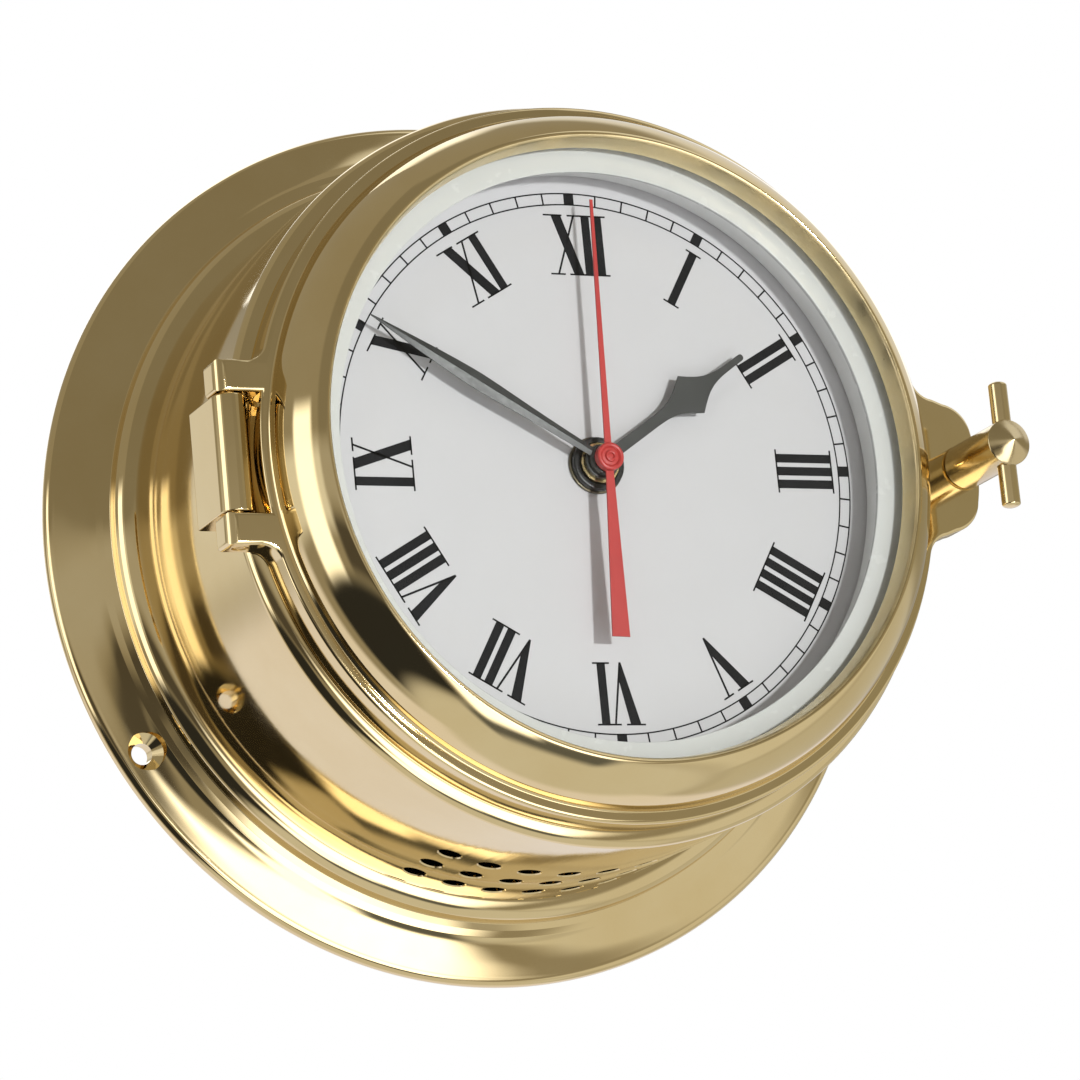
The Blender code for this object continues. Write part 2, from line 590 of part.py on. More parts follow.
def build_movement_case(group, cutters, plastic, brass, frame):
    half = MOVEMENT_HALF
    inner = half - MOVEMENT_WALL
    shell = box("movement_case", (-half, -half, MOVEMENT_BACK), (half, half, MOVEMENT_FRONT), group, plastic,
                frame, bevel=0.8)
    pocket = box("movement_pocket", (-inner, -inner, MOVEMENT_BACK - 5), (inner, inner, 61.6), cutters, None,
                 frame)
    hole = turned("bush_hole", rod_points(4.15, 55, 70), cutters, None, frame)
    boolean(shell, as_cutter(pocket), "DIFFERENCE")
    boolean(shell, as_cutter(hole), "DIFFERENCE")
    cover = box("movement_cover", (-half, -half, 45.4), (half, half, MOVEMENT_BACK - 0.2), group, plastic,
                frame, bevel=0.5)
    knob_hole = turned("knob_hole", rod_points(1.5, 40, 50), cutters, None, frame, (*KNOB_AXIS, 0))
    boolean(cover, as_cutter(knob_hole), "DIFFERENCE")
    bush = [(4.0, 67.9), (4.0, 61.4), (5.5, 61.4), (5.5, 61.1), (2.45, 61.1), (2.45, 67.9)]
    turned("centre_bush", bush, group, brass, frame)


def stator_outline():
    """A U of soft iron: a yoke round the rotor and two arms up to the coil's core."""
    return [(-13.0, 6.6), (14.0, 6.6), (14.0, 22.5), (10.6, 22.5), (10.6, 13.6), (-9.6, 13.6),
            (-9.6, 22.5), (-13.0, 22.5)]


def build_movement_inside(group, copper, steel, board, plastic, brass, wrap, frame):
    along_x = (0, 90, 0)
    plate("stator", [stator_outline(), circle_outline(2.5, 16, ROTOR_AXIS)], STATOR_LOW, STATOR_HIGH,
          group, steel, frame)
    coil_place = (0, COIL_Y, COIL_Z)
    turned("motor_coil", tube_points(4.0, 1.6, -9.3, 10.3), group, copper, frame, coil_place, along_x)
    turned("coil_core", rod_points(1.2, -12.8, 13.8), group, steel, frame, coil_place, along_x, steps=12)
    box("circuit_board", (-24, 3.2, 47.5), (24, 26, 48.3), group, board, frame)
    turned("quartz_crystal", rod_points(1.0, -3, 3), group, steel, frame, (-17, 8, 49.5), along_x, steps=12)

    bores = [circle_outline(0.65, 10), circle_outline(0.65, 10, THIRD_AXIS),
             circle_outline(0.65, 10, INTERMEDIATE_AXIS)]
    edge = [(-15, -9), (10, -9), (10, 6.2), (-15, 6.2)]
    plate("train_plate", [edge] + bores, 49.9, 50.6, group, plastic, frame)

    nub = BATTERY_RADIUS * 0.4
    cell = [(0, 25.2), (nub, 25.2), (nub, 24.2), (BATTERY_RADIUS, 24.2), (BATTERY_RADIUS, -24.4),
            (0, -24.4)]
    turned("battery", cell, group, wrap, frame, (0, BATTERY_Y, BATTERY_Z), along_x)
    for name, low, high in (("battery_contact_plus", 25.5, 26.0), ("battery_contact_minus", -25.6, -25.1)):
        box(name, (low, BATTERY_Y - 4, BATTERY_Z - 5), (high, BATTERY_Y + 4, BATTERY_Z + 5), group, brass,
            frame)


def wheel_profile(arbor, pinion, wheel):
    """A solid arbor with a wheel on it and a pinion in front of the wheel, from front to back.

    The arbor and pinion are (radius, back, front) and the wheel is (radius, back)."""
    arbor_radius, arbor_back, arbor_front = arbor
    pinion_radius, middle, pinion_front = pinion
    wheel_radius, wheel_back = wheel
    return [(0, arbor_front), (arbor_radius, arbor_front), (arbor_radius, pinion_front),
            (pinion_radius, pinion_front), (pinion_radius, middle), (wheel_radius, middle),
            (wheel_radius, wheel_back), (arbor_radius, wheel_back), (arbor_radius, arbor_back),
            (0, arbor_back)]


def build_train(group, brass, plastic, steel, axes):
    """The going train from the hour wheel to the rotor, each piece turned about its own arbor."""
    clear = TOOTH_CLEARANCE
    hour = HOUR_PITCH - clear
    turned("hour_wheel", [(2.2, 69.3), (2.2, 60.8), (hour, 60.8), (hour, 60.0), (1.5, 60.0), (1.5, 69.3)],
           group, plastic, axes["hour"])
    centre = THIRD_PITCH - clear
    cannon = CANNON_PINION - clear
    turned("centre_wheel", [(1.3, 70.9), (1.3, 59.7), (cannon, 59.7), (cannon, 58.3), (centre, 58.3),
                            (centre, 57.6), (0.7, 57.6), (0.7, 70.9)],
           group, brass, axes["minute"])
    third_pinion = THIRD_PINION - clear
    second = wheel_profile((0.5, 49.4, 72.6), (third_pinion, 55.1, 56.9), (SECOND_PITCH - clear, 54.4))
    turned("second_wheel", second, group, steel, axes["second"])
    third = wheel_profile((0.5, 49.4, 61.2), (third_pinion, 56.7, 58.5), (centre, 56.0))
    turned("third_wheel", third, group, plastic, axes["third"])
    motion = wheel_profile((0.5, 58.3, 61.3), (MOTION_PINION - clear, 59.6, 60.9),
                           (MOTION_PITCH - clear, 58.9))
    turned("motion_wheel", motion, group, plastic, axes["motion"])
    intermediate = wheel_profile((0.4, 49.4, 55.7), (INTERMEDIATE_PINION - clear, 53.6, 55.2),
                                 (INTERMEDIATE_PITCH - clear, 53.0))
    turned("intermediate_wheel", intermediate, group, plastic, axes["intermediate"])
    pinion = ROTOR_PINION - clear
    magnet = [(pinion, 52.4), (1.9, 52.4), (1.9, 50.3), (0.3, 50.3), (0.3, 49.0), (0, 49.0)]
    turned("rotor", [(0, 54.3), (pinion, 54.3)] + magnet, group, steel, axes["rotor"])
    pinion = KNOB_PITCH - clear
    knob = [(1.2, 58.8), (1.2, 45.2), (5.0, 45.2), (5.0, 42.4), (0, 42.4)]
    stem = [(0, 61.2), (0.6, 61.2), (0.6, 59.7), (pinion, 59.7), (pinion, 58.8)]
    turned("setting_knob", stem + knob, group, plastic, axes["knob"])


def build_axes(group, frame):
    """One empty on each arbor. The hands' empties are turned to the time shown at rest."""
    places = {"third": THIRD_AXIS, "motion": MOTION_AXIS, "intermediate": INTERMEDIATE_AXIS,
              "rotor": ROTOR_AXIS, "knob": KNOB_AXIS}
    axes = {name: add_empty(name + "_axis", group, frame, (x, y, 0)) for name, (x, y) in places.items()}
    for name, clock in (("hour", HOUR_ANGLE), ("minute", MINUTE_ANGLE), ("second", SECOND_ANGLE)):
        axes[name] = add_empty(name + "_axis", group, frame, (0, 0, 0), (0, 0, -clock))
    return axes


def main():
    clear_scene()
    group = new_collection("ships_deck_clock")
    cutters = new_collection("cutters")

    brass = make_material("polished_brass", (0.80, 0.62, 0.30), 0.12, 1.0)
    plain_brass = make_material("plain_brass", (0.72, 0.55, 0.27), 0.35, 1.0)
    steel = make_material("steel", (0.62, 0.62, 0.63), 0.3, 1.0)
    white = make_material("white_lacquer", (0.86, 0.87, 0.87), 0.3)
    enamel = make_material("dial_white", (0.84, 0.85, 0.86), 0.5)
    black = make_material("black_lacquer", (0.06, 0.06, 0.06), 0.4)
    red = make_material("red_lacquer", (0.75, 0.05, 0.05), 0.35)
    rubber = make_material("rubber", (0.03, 0.03, 0.03), 0.8)
    glass = make_material("clear_glass", (0.95, 0.97, 0.97), 0.02, 0.0, 0.2)
    plastic = make_material("moulded_plastic", (0.25, 0.25, 0.27), 0.5)
    copper = make_material("copper", (0.72, 0.36, 0.20), 0.35, 1.0)
    board = make_material("circuit_board", (0.05, 0.22, 0.10), 0.5)
    wrap = make_material("battery_wrap", (0.10, 0.12, 0.16), 0.4)

    frame = add_empty("face_frame", group, turn=(90, 0, 0))
    hinge = add_empty("bezel_hinge_axis", group, frame, (HINGE_X, 0, HINGE_Z))
    clamp = add_empty("clamp_axis", group, frame, (CLAMP_X, 0, 0))
    axes = build_axes(group, frame)

    build_flange(group, cutters, brass, frame)
    build_barrel(group, cutters, brass, frame)
    build_back(group, cutters, plain_brass, steel, frame)
    build_hinge(group, cutters, brass, steel, frame)
    build_bezel(group, cutters, brass, white, rubber, glass, frame, hinge)
    build_clamp(group, cutters, brass, steel, frame, clamp)
    build_dial(group, cutters, enamel, white, steel, plain_brass, black, rubber, frame)
    build_hands(group, cutters, black, red, axes)
    build_movement_case(group, cutters, plastic, plain_brass, frame)
    build_movement_inside(group, copper, steel, board, plastic, plain_brass, wrap, frame)
    build_train(group, plain_brass, plastic, steel, axes)


main()
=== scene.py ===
"""The looks of a ship's deck clock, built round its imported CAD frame.

Pieces are drawn in the clock's face frame, in millimetres: x to the right, y up and
z out of the wall. FACE turns that into the row frame in metres.
"""

import json
import math
from itertools import groupby

import bmesh
import bpy
from mathutils import Matrix, Vector


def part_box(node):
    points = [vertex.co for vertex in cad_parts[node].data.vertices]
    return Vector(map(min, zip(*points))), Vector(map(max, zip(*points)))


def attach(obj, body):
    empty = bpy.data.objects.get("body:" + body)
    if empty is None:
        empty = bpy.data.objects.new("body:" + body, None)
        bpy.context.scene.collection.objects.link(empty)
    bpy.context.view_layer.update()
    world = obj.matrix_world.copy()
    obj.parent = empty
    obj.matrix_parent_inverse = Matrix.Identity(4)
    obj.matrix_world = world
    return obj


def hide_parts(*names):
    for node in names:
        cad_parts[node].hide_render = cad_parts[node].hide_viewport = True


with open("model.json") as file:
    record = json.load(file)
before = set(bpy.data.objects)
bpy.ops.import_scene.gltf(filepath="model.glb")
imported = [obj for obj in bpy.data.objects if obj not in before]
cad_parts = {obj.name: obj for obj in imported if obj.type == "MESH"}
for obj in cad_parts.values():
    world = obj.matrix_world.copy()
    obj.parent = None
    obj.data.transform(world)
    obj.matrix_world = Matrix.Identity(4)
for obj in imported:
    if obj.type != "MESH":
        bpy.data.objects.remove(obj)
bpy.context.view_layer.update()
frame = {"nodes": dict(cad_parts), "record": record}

MM = 0.001
FACE = Matrix.Rotation(math.radians(90), 4, "X") @ Matrix.Scale(MM, 4)


def span(node):
    """A CAD node's lowest and highest corners, in face millimetres."""
    low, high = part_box(node)
    return Vector((low.x, low.z, -high.y)) / MM, Vector((high.x, high.z, -low.y)) / MM


# ---- Sizes, from the frame where a node gives them -----------------------------
FLANGE_RADIUS = span("mounting_flange")[1].x
BARREL_RADIUS = round(span("case_barrel")[1].y, 1)
CASE_FRONT = span("case_barrel")[1].z
BEZEL_BACK = span("bezel_ring")[0].z
BEZEL_FRONT = round(span("bezel_ring")[1].z, 1)
BEZEL_RIM = span("bezel_ring")[1].y
BEZEL_FOOT = 69.95
BEZEL_BORE = 60.3
PLATE_FRONT = 70.5
PLATE_BORE = 69.85
NOSE_RADIUS = 0.8
NOSE = (61.65, BEZEL_FRONT - NOSE_RADIUS)
NOSE_FOOT = 79.0
NOSE_START_DEG = 175
FLANK_RADIUS = 15.7
FLANK_START_DEG = 54
FLANK_END_DEG = 6
GLASS_BACK = span("glass")[0].z
GLASS_FRONT = span("glass")[1].z
GLASS_RADIUS = round(span("glass")[1].y, 1)
GLASS_SEAT = GLASS_FRONT + 0.2
RETAINER_FRONT = GLASS_BACK - 0.2
RETAINER_BACK = span("glass_retaining_ring")[0].z
RECESS_GAP = 0.3
SEAL_BACK = BEZEL_BACK - 0.15
SEAL_FRONT = span("bezel_seal")[1].z
SEAL_OUTER = round(span("bezel_seal")[1].y, 1)
SEAL_INNER = 67.4
SEAL_GAP = 0.2
SPIGOT_BORE = 66.0
SPIGOT_DEPTH = 72.6
DIAL_FACE = span("dial_plate")[1].z
DIAL_BACK = span("dial_plate")[0].z
DIAL_RADIUS = round(span("dial_plate")[1].y, 1)
RING_FRONT = span("dial_ring")[1].z
RING_RADIUS = round(span("dial_ring")[1].y, 1)
RING_BORE = 58.5
PRINT_LOW = DIAL_FACE - 0.02
PRINT_HIGH = DIAL_FACE + 0.03
HINGE_X = (span("hinge_pin")[0].x + span("hinge_pin")[1].x) / 2
HINGE_Z = (span("hinge_pin")[0].z + span("hinge_pin")[1].z) / 2
PIN_RADIUS = 1.5
KNUCKLE_RADIUS = HINGE_X - span("hinge_block")[0].x
KNUCKLE_HALF = span("hinge_block")[1].y
BLOCK_BACK = span("hinge_block")[0].z
BLOCK_RIGHT = 7.5
EAR_INNER = 11.6
EAR_OUTER = span("hinge_pin")[1].y
EAR_FILLET = 4.0
EAR_ROUND = 2.2
SLOT_RADIUS = 70.45
CLAMP_X = (span("clamp_clip")[0].x + span("clamp_clip")[1].x) / 2
BOSS_FRONT = span("clamp_boss")[1].z
BOSS_BACK = span("clamp_boss")[0].z
BOSS_RADIUS = round(span("clamp_boss")[1].y, 1)
LUG_TIP = span("bezel_ring")[1].x
LUG_HALF = 13.2
LUG_CORNER = 7.0
LUG_CORNER_X = 73.9
LUG_FILLET = 5.0
HEAD_TOP = span("clamp_screw")[1].z
SCREW_END = span("clamp_screw")[0].z
STEM_RADIUS = 4.6
SHANK_RADIUS = 2.4
CLIP_NECK = 1.7
GROOVES = 9
GROOVE_PITCH = 0.5
GROOVES_FRONT = 56.2
BAR_RADIUS = 1.85
BAR_HALF = span("clamp_tommy_bar")[1].y
BAR_Z = (span("clamp_tommy_bar")[0].z + span("clamp_tommy_bar")[1].z) / 2
MOUNT_CIRCLE = 84.8
MOUNT_HOLE = 2.15
MOUNT_SINK = 3.9
MOUNT_LEVEL = 4.75
MOUNT_CLOCKS = (0, 120, 240)
VENT_RADIUS = 2.25
VENT_ROWS = (36.3, 27.3, 18.7)
VENTS_PER_ROW = 7
VENT_PITCH_DEG = 6.55
DIAL_SCREW_CIRCLE = 63.3
DIAL_SCREW_HEAD = span("dial_screw_1")[1].z
DIAL_SCREW_END = span("dial_screw_1")[0].z
BACK_SCREW_CIRCLE = 68.0
BACK_SCREW_CLOCKS = (60, 180, 300)
BACK_SCREW_END = span("back_screw_1")[1].z
BACK_PLATE_FRONT = span("back_plate")[1].z
BACK_PLATE_RADIUS = round(span("back_plate")[1].y, 1)
TRACK_INNER = 52.7
TRACK_OUTER = 54.96
TRACK_LINE = 0.28
TICK_HALF = 0.17
HOUR_BLOCK_HALF = 1.05
NUMERAL_INNER = 38.5
NUMERAL_OUTER = 50.8
NUMERAL_SHIFT = (0.6, -0.15)   # the numerals are printed a little out of register with the track
DEG_PER_HOUR = 30
DEG_PER_MINUTE = 6
HOUR_ANGLE = 55.9
MINUTE_ANGLE = 300.9
SECOND_ANGLE = 1.9
FINE_STEPS = 240
ROUND_STEPS = 64


# ---- Drawing helpers -----------------------------------------------------------
def polar(radius, angle_deg, centre=(0.0, 0.0)):
    angle = math.radians(angle_deg)
    return (centre[0] + radius * math.cos(angle), centre[1] + radius * math.sin(angle))


def clock_point(radius, clock_deg):
    """The point on the face at a clock angle, which runs clockwise from twelve."""
    return polar(radius, 90.0 - clock_deg)


def ellipse_arc(centre, half_width, half_height, start_deg, end_deg, count):
    """Points on part of an ellipse, both ends included."""
    points = []
    for i in range(count):
        angle = math.radians(start_deg + (end_deg - start_deg) * i / (count - 1))
        points.append((centre[0] + half_width * math.cos(angle), centre[1] + half_height * math.sin(angle)))
    return points


def rounded(corners, steps=4):
    """A closed outline of (x, y, rounding) corners, each rounded off with an arc."""
    points = []
    for i, (x, y, size) in enumerate(corners):
        here = Vector((x, y))
        if size == 0:
            points.append((x, y))
            continue
        towards = (Vector(corners[i - 1][:2]) - here).normalized()
        onwards = (Vector(corners[(i + 1) % len(corners)][:2]) - here).normalized()
        half = towards.angle(onwards) / 2
        centre = here + (towards + onwards).normalized() * size / math.sin(half)
        first = here + towards * size / math.tan(half) - centre
        last = here + onwards * size / math.tan(half) - centre
        start = math.atan2(first.y, first.x)
        turn = (math.atan2(last.y, last.x) - start + math.pi) % (2 * math.pi) - math.pi
        for k in range(steps + 1):
            angle = start + turn * k / steps
            points.append((centre.x + size * math.cos(angle), centre.y + size * math.sin(angle)))
    return points


def corners_of(points, rounding=0.0):
    return [(x, y, rounding) for x, y in points]


def smooth_line(points, steps=6):
    """A Catmull-Rom line through the points, ends included."""
    line = []
    padded = [points[0], *points, points[-1]]
    for i in range(1, len(padded) - 2):
        a, b, c, d = (Vector(p) for p in padded[i - 1:i + 3])
        for k in range(steps):
            t = k / steps
            line.append(0.5 * (2 * b + (c - a) * t + (2 * a - 5 * b + 4 * c - d) * t ** 2
                               + (3 * b - a - 3 * c + d) * t ** 3))
    return [tuple(p) for p in line] + [tuple(points[-1])]


def below(corners):
    """The same corners on the other side of the x axis, in the order that carries on round."""
    return [(x, -y, size) for x, y, size in reversed(corners)]


def mirrored(half):
    """A whole outline from its right half, which runs from bottom to top."""
    return half + [(-x, y) for x, y in reversed(half) if x > 0.001]


def place_at(x=0.0, y=0.0, z=0.0):
    return Matrix.Translation((x, y, z))


def upright(x, y, z):
    """Turns a shape's own axis from out of the wall to straight up, and puts it in place."""
    return place_at(x, y, z) @ Matrix.Rotation(math.radians(90), 4, "X")


def lathe(profile, steps=FINE_STEPS, place=None):
    """A bmesh of (radius, z) points turned about the z axis."""
    shape = bmesh.new()
    line = [shape.verts.new((radius, 0.0, z)) for radius, z in profile]
    edges = [shape.edges.new(pair) for pair in zip(line, line[1:])]
    if profile[0][0] > 0:
        edges.append(shape.edges.new((line[-1], line[0])))
    bmesh.ops.spin(shape, geom=line + edges, cent=(0, 0, 0), axis=(0, 0, 1), angle=2 * math.pi,
                   steps=steps, use_merge=True)
    bmesh.ops.remove_doubles(shape, verts=shape.verts[:], dist=0.0005)
    bmesh.ops.recalc_face_normals(shape, faces=shape.faces[:])
    if place is not None:
        shape.transform(place)
    return shape


def rod(radius, low, high, steps=ROUND_STEPS, place=None):
    """A plain cylinder about the z axis."""
    return lathe([(0, high), (radius, high), (radius, low), (0, low)], steps, place)


def slab(outlines, low, high, bevel=0.0, place=None):
    """A bmesh plate between two levels, with its edges rounded inside the outline."""
    curve = bpy.data.curves.new("outline", "CURVE")
    curve.dimensions = "2D"
    curve.fill_mode = "BOTH"
    curve.extrude = (high - low) / 2 - bevel
    curve.bevel_depth = bevel
    curve.offset = -bevel
    curve.bevel_resolution = 3
    for outline in outlines:
        spline = curve.splines.new("POLY")
        spline.points.add(len(outline) - 1)
        for point, (x, y) in zip(spline.points, outline):
            point.co = (x, y, 0.0, 1.0)
        spline.use_cyclic_u = True
    holder = bpy.data.objects.new("outline", curve)
    bpy.context.scene.collection.objects.link(holder)
    shape = evaluated(holder)
    bpy.data.objects.remove(holder, do_unlink=True)
    bmesh.ops.remove_doubles(shape, verts=shape.verts[:], dist=0.002)
    bmesh.ops.translate(shape, verts=shape.verts[:], vec=(0.0, 0.0, (low + high) / 2))
    bmesh.ops.recalc_face_normals(shape, faces=shape.faces[:])
    if place is not None:
        shape.transform(place)
    return shape


def evaluated(thing):
    """A bmesh of what an object looks like with its modifiers."""
    bpy.context.view_layer.update()
    mesh = bpy.data.meshes.new_from_object(thing.evaluated_get(bpy.context.evaluated_depsgraph_get()))
    shape = bmesh.new()
    shape.from_mesh(mesh)
    bpy.data.meshes.remove(mesh)
    return shape


def holder_of(shape):
    mesh = bpy.data.meshes.new("holder")
    shape.to_mesh(mesh)
    shape.free()
    thing = bpy.data.objects.new("holder", mesh)
    bpy.context.scene.collection.objects.link(thing)
    return thing


def carve(shape, *tools):
    """The shape with each tool cut out of it."""
    body = holder_of(shape)
    cutters = [holder_of(tool) for tool in tools]
    for cutter in cutters:
        step = body.modifiers.new("cut", "BOOLEAN")
        step.operation = "DIFFERENCE"
        step.solver = "EXACT"
        step.object = cutter
    result = evaluated(body)
    for thing in [body, *cutters]:
        bpy.data.objects.remove(thing, do_unlink=True)
    return result


def merge(shapes):
    """One bmesh that holds several."""
    whole = bmesh.new()
    for shape in shapes:
        mesh = bpy.data.meshes.new("part")
        shape.to_mesh(mesh)
        shape.free()
        whole.from_mesh(mesh)
        bpy.data.meshes.remove(mesh)
    return whole


def show(name, shape, look, body, replaced=(), sharp_deg=32, weighted=True):
    """Make a face-frame bmesh a piece that rides on a body and stands for CAD nodes."""
    shape.transform(FACE)
    mesh = bpy.data.meshes.new(name)
    shape.to_mesh(mesh)
    shape.free()
    mesh.shade_smooth()
    mesh.set_sharp_from_angle(angle=math.radians(sharp_deg))
    mesh.materials.clear()
    mesh.materials.append(LOOKS[look])
    piece = bpy.data.objects.new(name, mesh)
    bpy.context.scene.collection.objects.link(piece)
    if weighted:
        step = piece.modifiers.new("flat_faces_lead", "WEIGHTED_NORMAL")
        step.keep_sharp = True
    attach(piece, body)
    if replaced:
        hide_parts(*replaced)
    return piece


# ---- Materials -----------------------------------------------------------------
def feed(tree, socket, value):
    """Link an input to another node's output, or set it to a constant."""
    if isinstance(value, bpy.types.NodeSocket):
        tree.links.new(value, socket)
    else:
        socket.default_value = value


def add_node(tree, kind, links, **settings):
    """Add a node; links maps its input names to sockets or to constants."""
    made = tree.nodes.new("ShaderNode" + kind)
    for key, value in settings.items():
        setattr(made, key, value)
    for key, value in links.items():
        feed(tree, made.inputs[key], value)
    return made


class Look:
    """A material with a Principled shader and short ways to add nodes to it."""

    def __init__(self, name, colour, roughness, metallic=0.0, **constants):
        self.material = bpy.data.materials.new(name)
        self.material.use_nodes = True
        self.tree = self.material.node_tree
        self.shader = self.tree.nodes["Principled BSDF"]
        self.shader.inputs["Base Color"].default_value = (*colour, 1.0)
        self.shader.inputs["Roughness"].default_value = roughness
        self.shader.inputs["Metallic"].default_value = metallic
        for socket, value in constants.items():
            self.shader.inputs[socket.replace("_", " ")].default_value = value
        self.place = self.tree.nodes.new("ShaderNodeTexCoord").outputs["Object"]

    def node(self, kind, links, **settings):
        return add_node(self.tree, kind, links, **settings)

    def noise(self, scale, detail=3.0, where=None, roughness=0.55):
        links = {"Vector": where or self.place, "Scale": scale, "Detail": detail, "Roughness": roughness}
        return self.node("TexNoise", links).outputs["Fac"]

    def stretched(self, scales):
        return self.node("Mapping", {"Vector": self.place, "Scale": scales}).outputs["Vector"]

    def math(self, operation, first, second=0.0):
        return self.node("Math", {0: first, 1: second}, operation=operation).outputs[0]

    def spread(self, value, low, high, from_low=0.3, from_high=0.7):
        """Map a noise value to a range."""
        links = {"Value": value, "From Min": from_low, "From Max": from_high, "To Min": low, "To Max": high}
        return self.node("MapRange", links).outputs["Result"]

    def mix(self, share, first, second):
        """A colour between two, by a noise value."""
        ramp = self.node("ValToRGB", {"Fac": share})
        ramp.color_ramp.elements[0].color = (*first, 1.0)
        ramp.color_ramp.elements[1].color = (*second, 1.0)
        ramp.color_ramp.elements[0].position = 0.3
        ramp.color_ramp.elements[1].position = 0.7
        return ramp.outputs["Color"]

    def colour(self, socket):
        self.tree.links.new(socket, self.shader.inputs["Base Color"])

    def rough(self, socket):
        self.tree.links.new(socket, self.shader.inputs["Roughness"])

    def bump(self, layers):
        """Stack bumps, each (height socket, distance in metres)."""
        normal = None
        for height, distance in layers:
            links = {"Height": height, "Distance": distance, "Strength": 1.0}
            if normal is not None:
                links["Normal"] = normal
            normal = self.node("Bump", links).outputs["Normal"]
        self.tree.links.new(normal, self.shader.inputs["Normal"])

    def turning(self, across=9000.0):
        """Noise in fine rings about the clock's axis, as a lathe or a buffing mop leaves."""
        parts = self.node("SeparateXYZ", {"Vector": self.place})
        x2 = self.math("MULTIPLY", parts.outputs["X"], parts.outputs["X"])
        z2 = self.math("MULTIPLY", parts.outputs["Z"], parts.outputs["Z"])
        radius = self.math("SQRT", self.math("ADD", x2, z2))
        rings = self.node("CombineXYZ", {"X": radius, "Y": parts.outputs["Y"]})
        return self.noise(across, 2.0, rings.outputs["Vector"])


def brass(name, light, deep, roughness, waviness, lines):
    """Polished brass under clear lacquer: soft waves, buffing lines and faint mottling."""
    look = Look(name, light, roughness, 1.0, Coat_Weight=0.35, Coat_Roughness=0.04, Coat_IOR=1.5)
    look.colour(look.mix(look.noise(55.0, 5.0), deep, light))
    cloud = look.spread(look.noise(140.0, 4.0), roughness * 0.7, roughness * 1.5)
    grain = look.spread(look.noise(2600.0, 2.0), 0.92, 1.10)
    look.rough(look.math("MULTIPLY", cloud, grain))
    look.bump([(look.noise(42.0, 1.5), waviness), (look.turning(), lines)])
    return look.material


def satin_paint(name, colour, other, roughness, grain, depth, **constants):
    """Paint, lacquer, plastic or rubber with a fine grain."""
    look = Look(name, colour, roughness, 0.0, **constants)
    look.colour(look.mix(look.noise(90.0, 4.0), other, colour))
    look.rough(look.spread(look.noise(grain * 0.3, 3.0), roughness * 0.85, roughness * 1.15))
    look.bump([(look.noise(grain, 3.0), depth)])
    return look.material


def brushed_metal(name, colour, other, roughness, scales):
    """Drawn or filed metal: lines run along the axis whose scale is small."""
    look = Look(name, colour, roughness, 1.0)
    lines = look.noise(1.0, 3.0, look.stretched(scales))
    look.colour(look.mix(look.noise(160.0, 3.0), other, colour))
    look.rough(look.spread(lines, roughness * 0.7, roughness * 1.3))
    look.bump([(lines, 0.00001)])
    return look.material


def clear_glass():
    """Window glass without bending: clear straight through, with a faint mirror at a slant."""
    look = Look("clear_glass", (1.0, 1.0, 1.0), 0.02, 0.0, IOR=1.45)
    look.rough(look.spread(look.noise(30.0, 2.0), 0.0, 0.02))
    output = look.tree.nodes["Material Output"]
    clear = look.node("BsdfTransparent", {"Color": (0.985, 0.995, 0.99, 1.0)})
    glint = look.node("BsdfGlossy", {"Color": (1.0, 1.0, 1.0, 1.0), "Roughness": 0.01})
    edge = look.node("Fresnel", {"IOR": 1.25})
    both = look.node("MixShader", {0: edge.outputs[0], 1: clear.outputs[0], 2: glint.outputs[0]})
    look.tree.links.new(both.outputs[0], output.inputs["Surface"])
    return look.material


def wound_copper():
    """Fine enamelled wire, wound side by side."""
    look = Look("copper", (0.75, 0.33, 0.16), 0.3, 1.0, Coat_Weight=0.5)
    turns = look.node("TexWave", {"Vector": look.place, "Scale": 1500.0, "Distortion": 0.3},
                      wave_type="BANDS", bands_direction="X").outputs["Fac"]
    look.colour(look.mix(turns, (0.45, 0.17, 0.07), (0.80, 0.38, 0.20)))
    look.bump([(turns, 0.00008)])
    return look.material


# Light and deep colour, roughness, depth of the waves and of the turning lines in metres.
BRASSES = {
    "polished_brass": ((0.80, 0.65, 0.36), (0.76, 0.60, 0.31), 0.055, 0.00006, 0.0000006),
    "plain_brass": ((0.74, 0.58, 0.30), (0.64, 0.48, 0.23), 0.26, 0.00003, 0.000004),
    "faced_brass": ((0.70, 0.57, 0.32), (0.66, 0.52, 0.28), 0.17, 0.00003, 0.000003),
    "satin_brass": ((0.72, 0.60, 0.34), (0.68, 0.55, 0.30), 0.42, 0.00002, 0.000003),
    "dull_brass": ((0.16, 0.135, 0.09), (0.12, 0.10, 0.065), 0.35, 0.00003, 0.000003),
}
# Two colours, roughness, scale of the grain and its depth in metres.
PAINTS = {
    # The next entry is the retainer's white lacquer darkened to grey: painted shade for the ring in its
    # recess behind the bezel's lip.
    "painted_shade_white_lacquer": ((0.64, 0.64, 0.63), (0.62, 0.62, 0.61), 0.25, 900.0, 0.000003),
    "dial_white": ((0.585, 0.57, 0.585), (0.575, 0.56, 0.575), 0.42, 3500.0, 0.000003),
    "hand_black": ((0.055, 0.055, 0.053), (0.035, 0.035, 0.034), 0.38, 6000.0, 0.00002),
    "nut_black": ((0.012, 0.012, 0.013), (0.02, 0.02, 0.02), 0.3, 3000.0, 0.00001),
    "rubber": ((0.02, 0.02, 0.02), (0.03, 0.03, 0.03), 0.7, 2500.0, 0.00004),
    "movement_plastic": ((0.03, 0.03, 0.033), (0.04, 0.04, 0.043), 0.45, 2600.0, 0.00003),
    "wheel_plastic": ((0.75, 0.72, 0.62), (0.70, 0.66, 0.56), 0.3, 2000.0, 0.00001),
    "board": ((0.02, 0.12, 0.04), (0.03, 0.17, 0.06), 0.3, 1500.0, 0.00003),
}
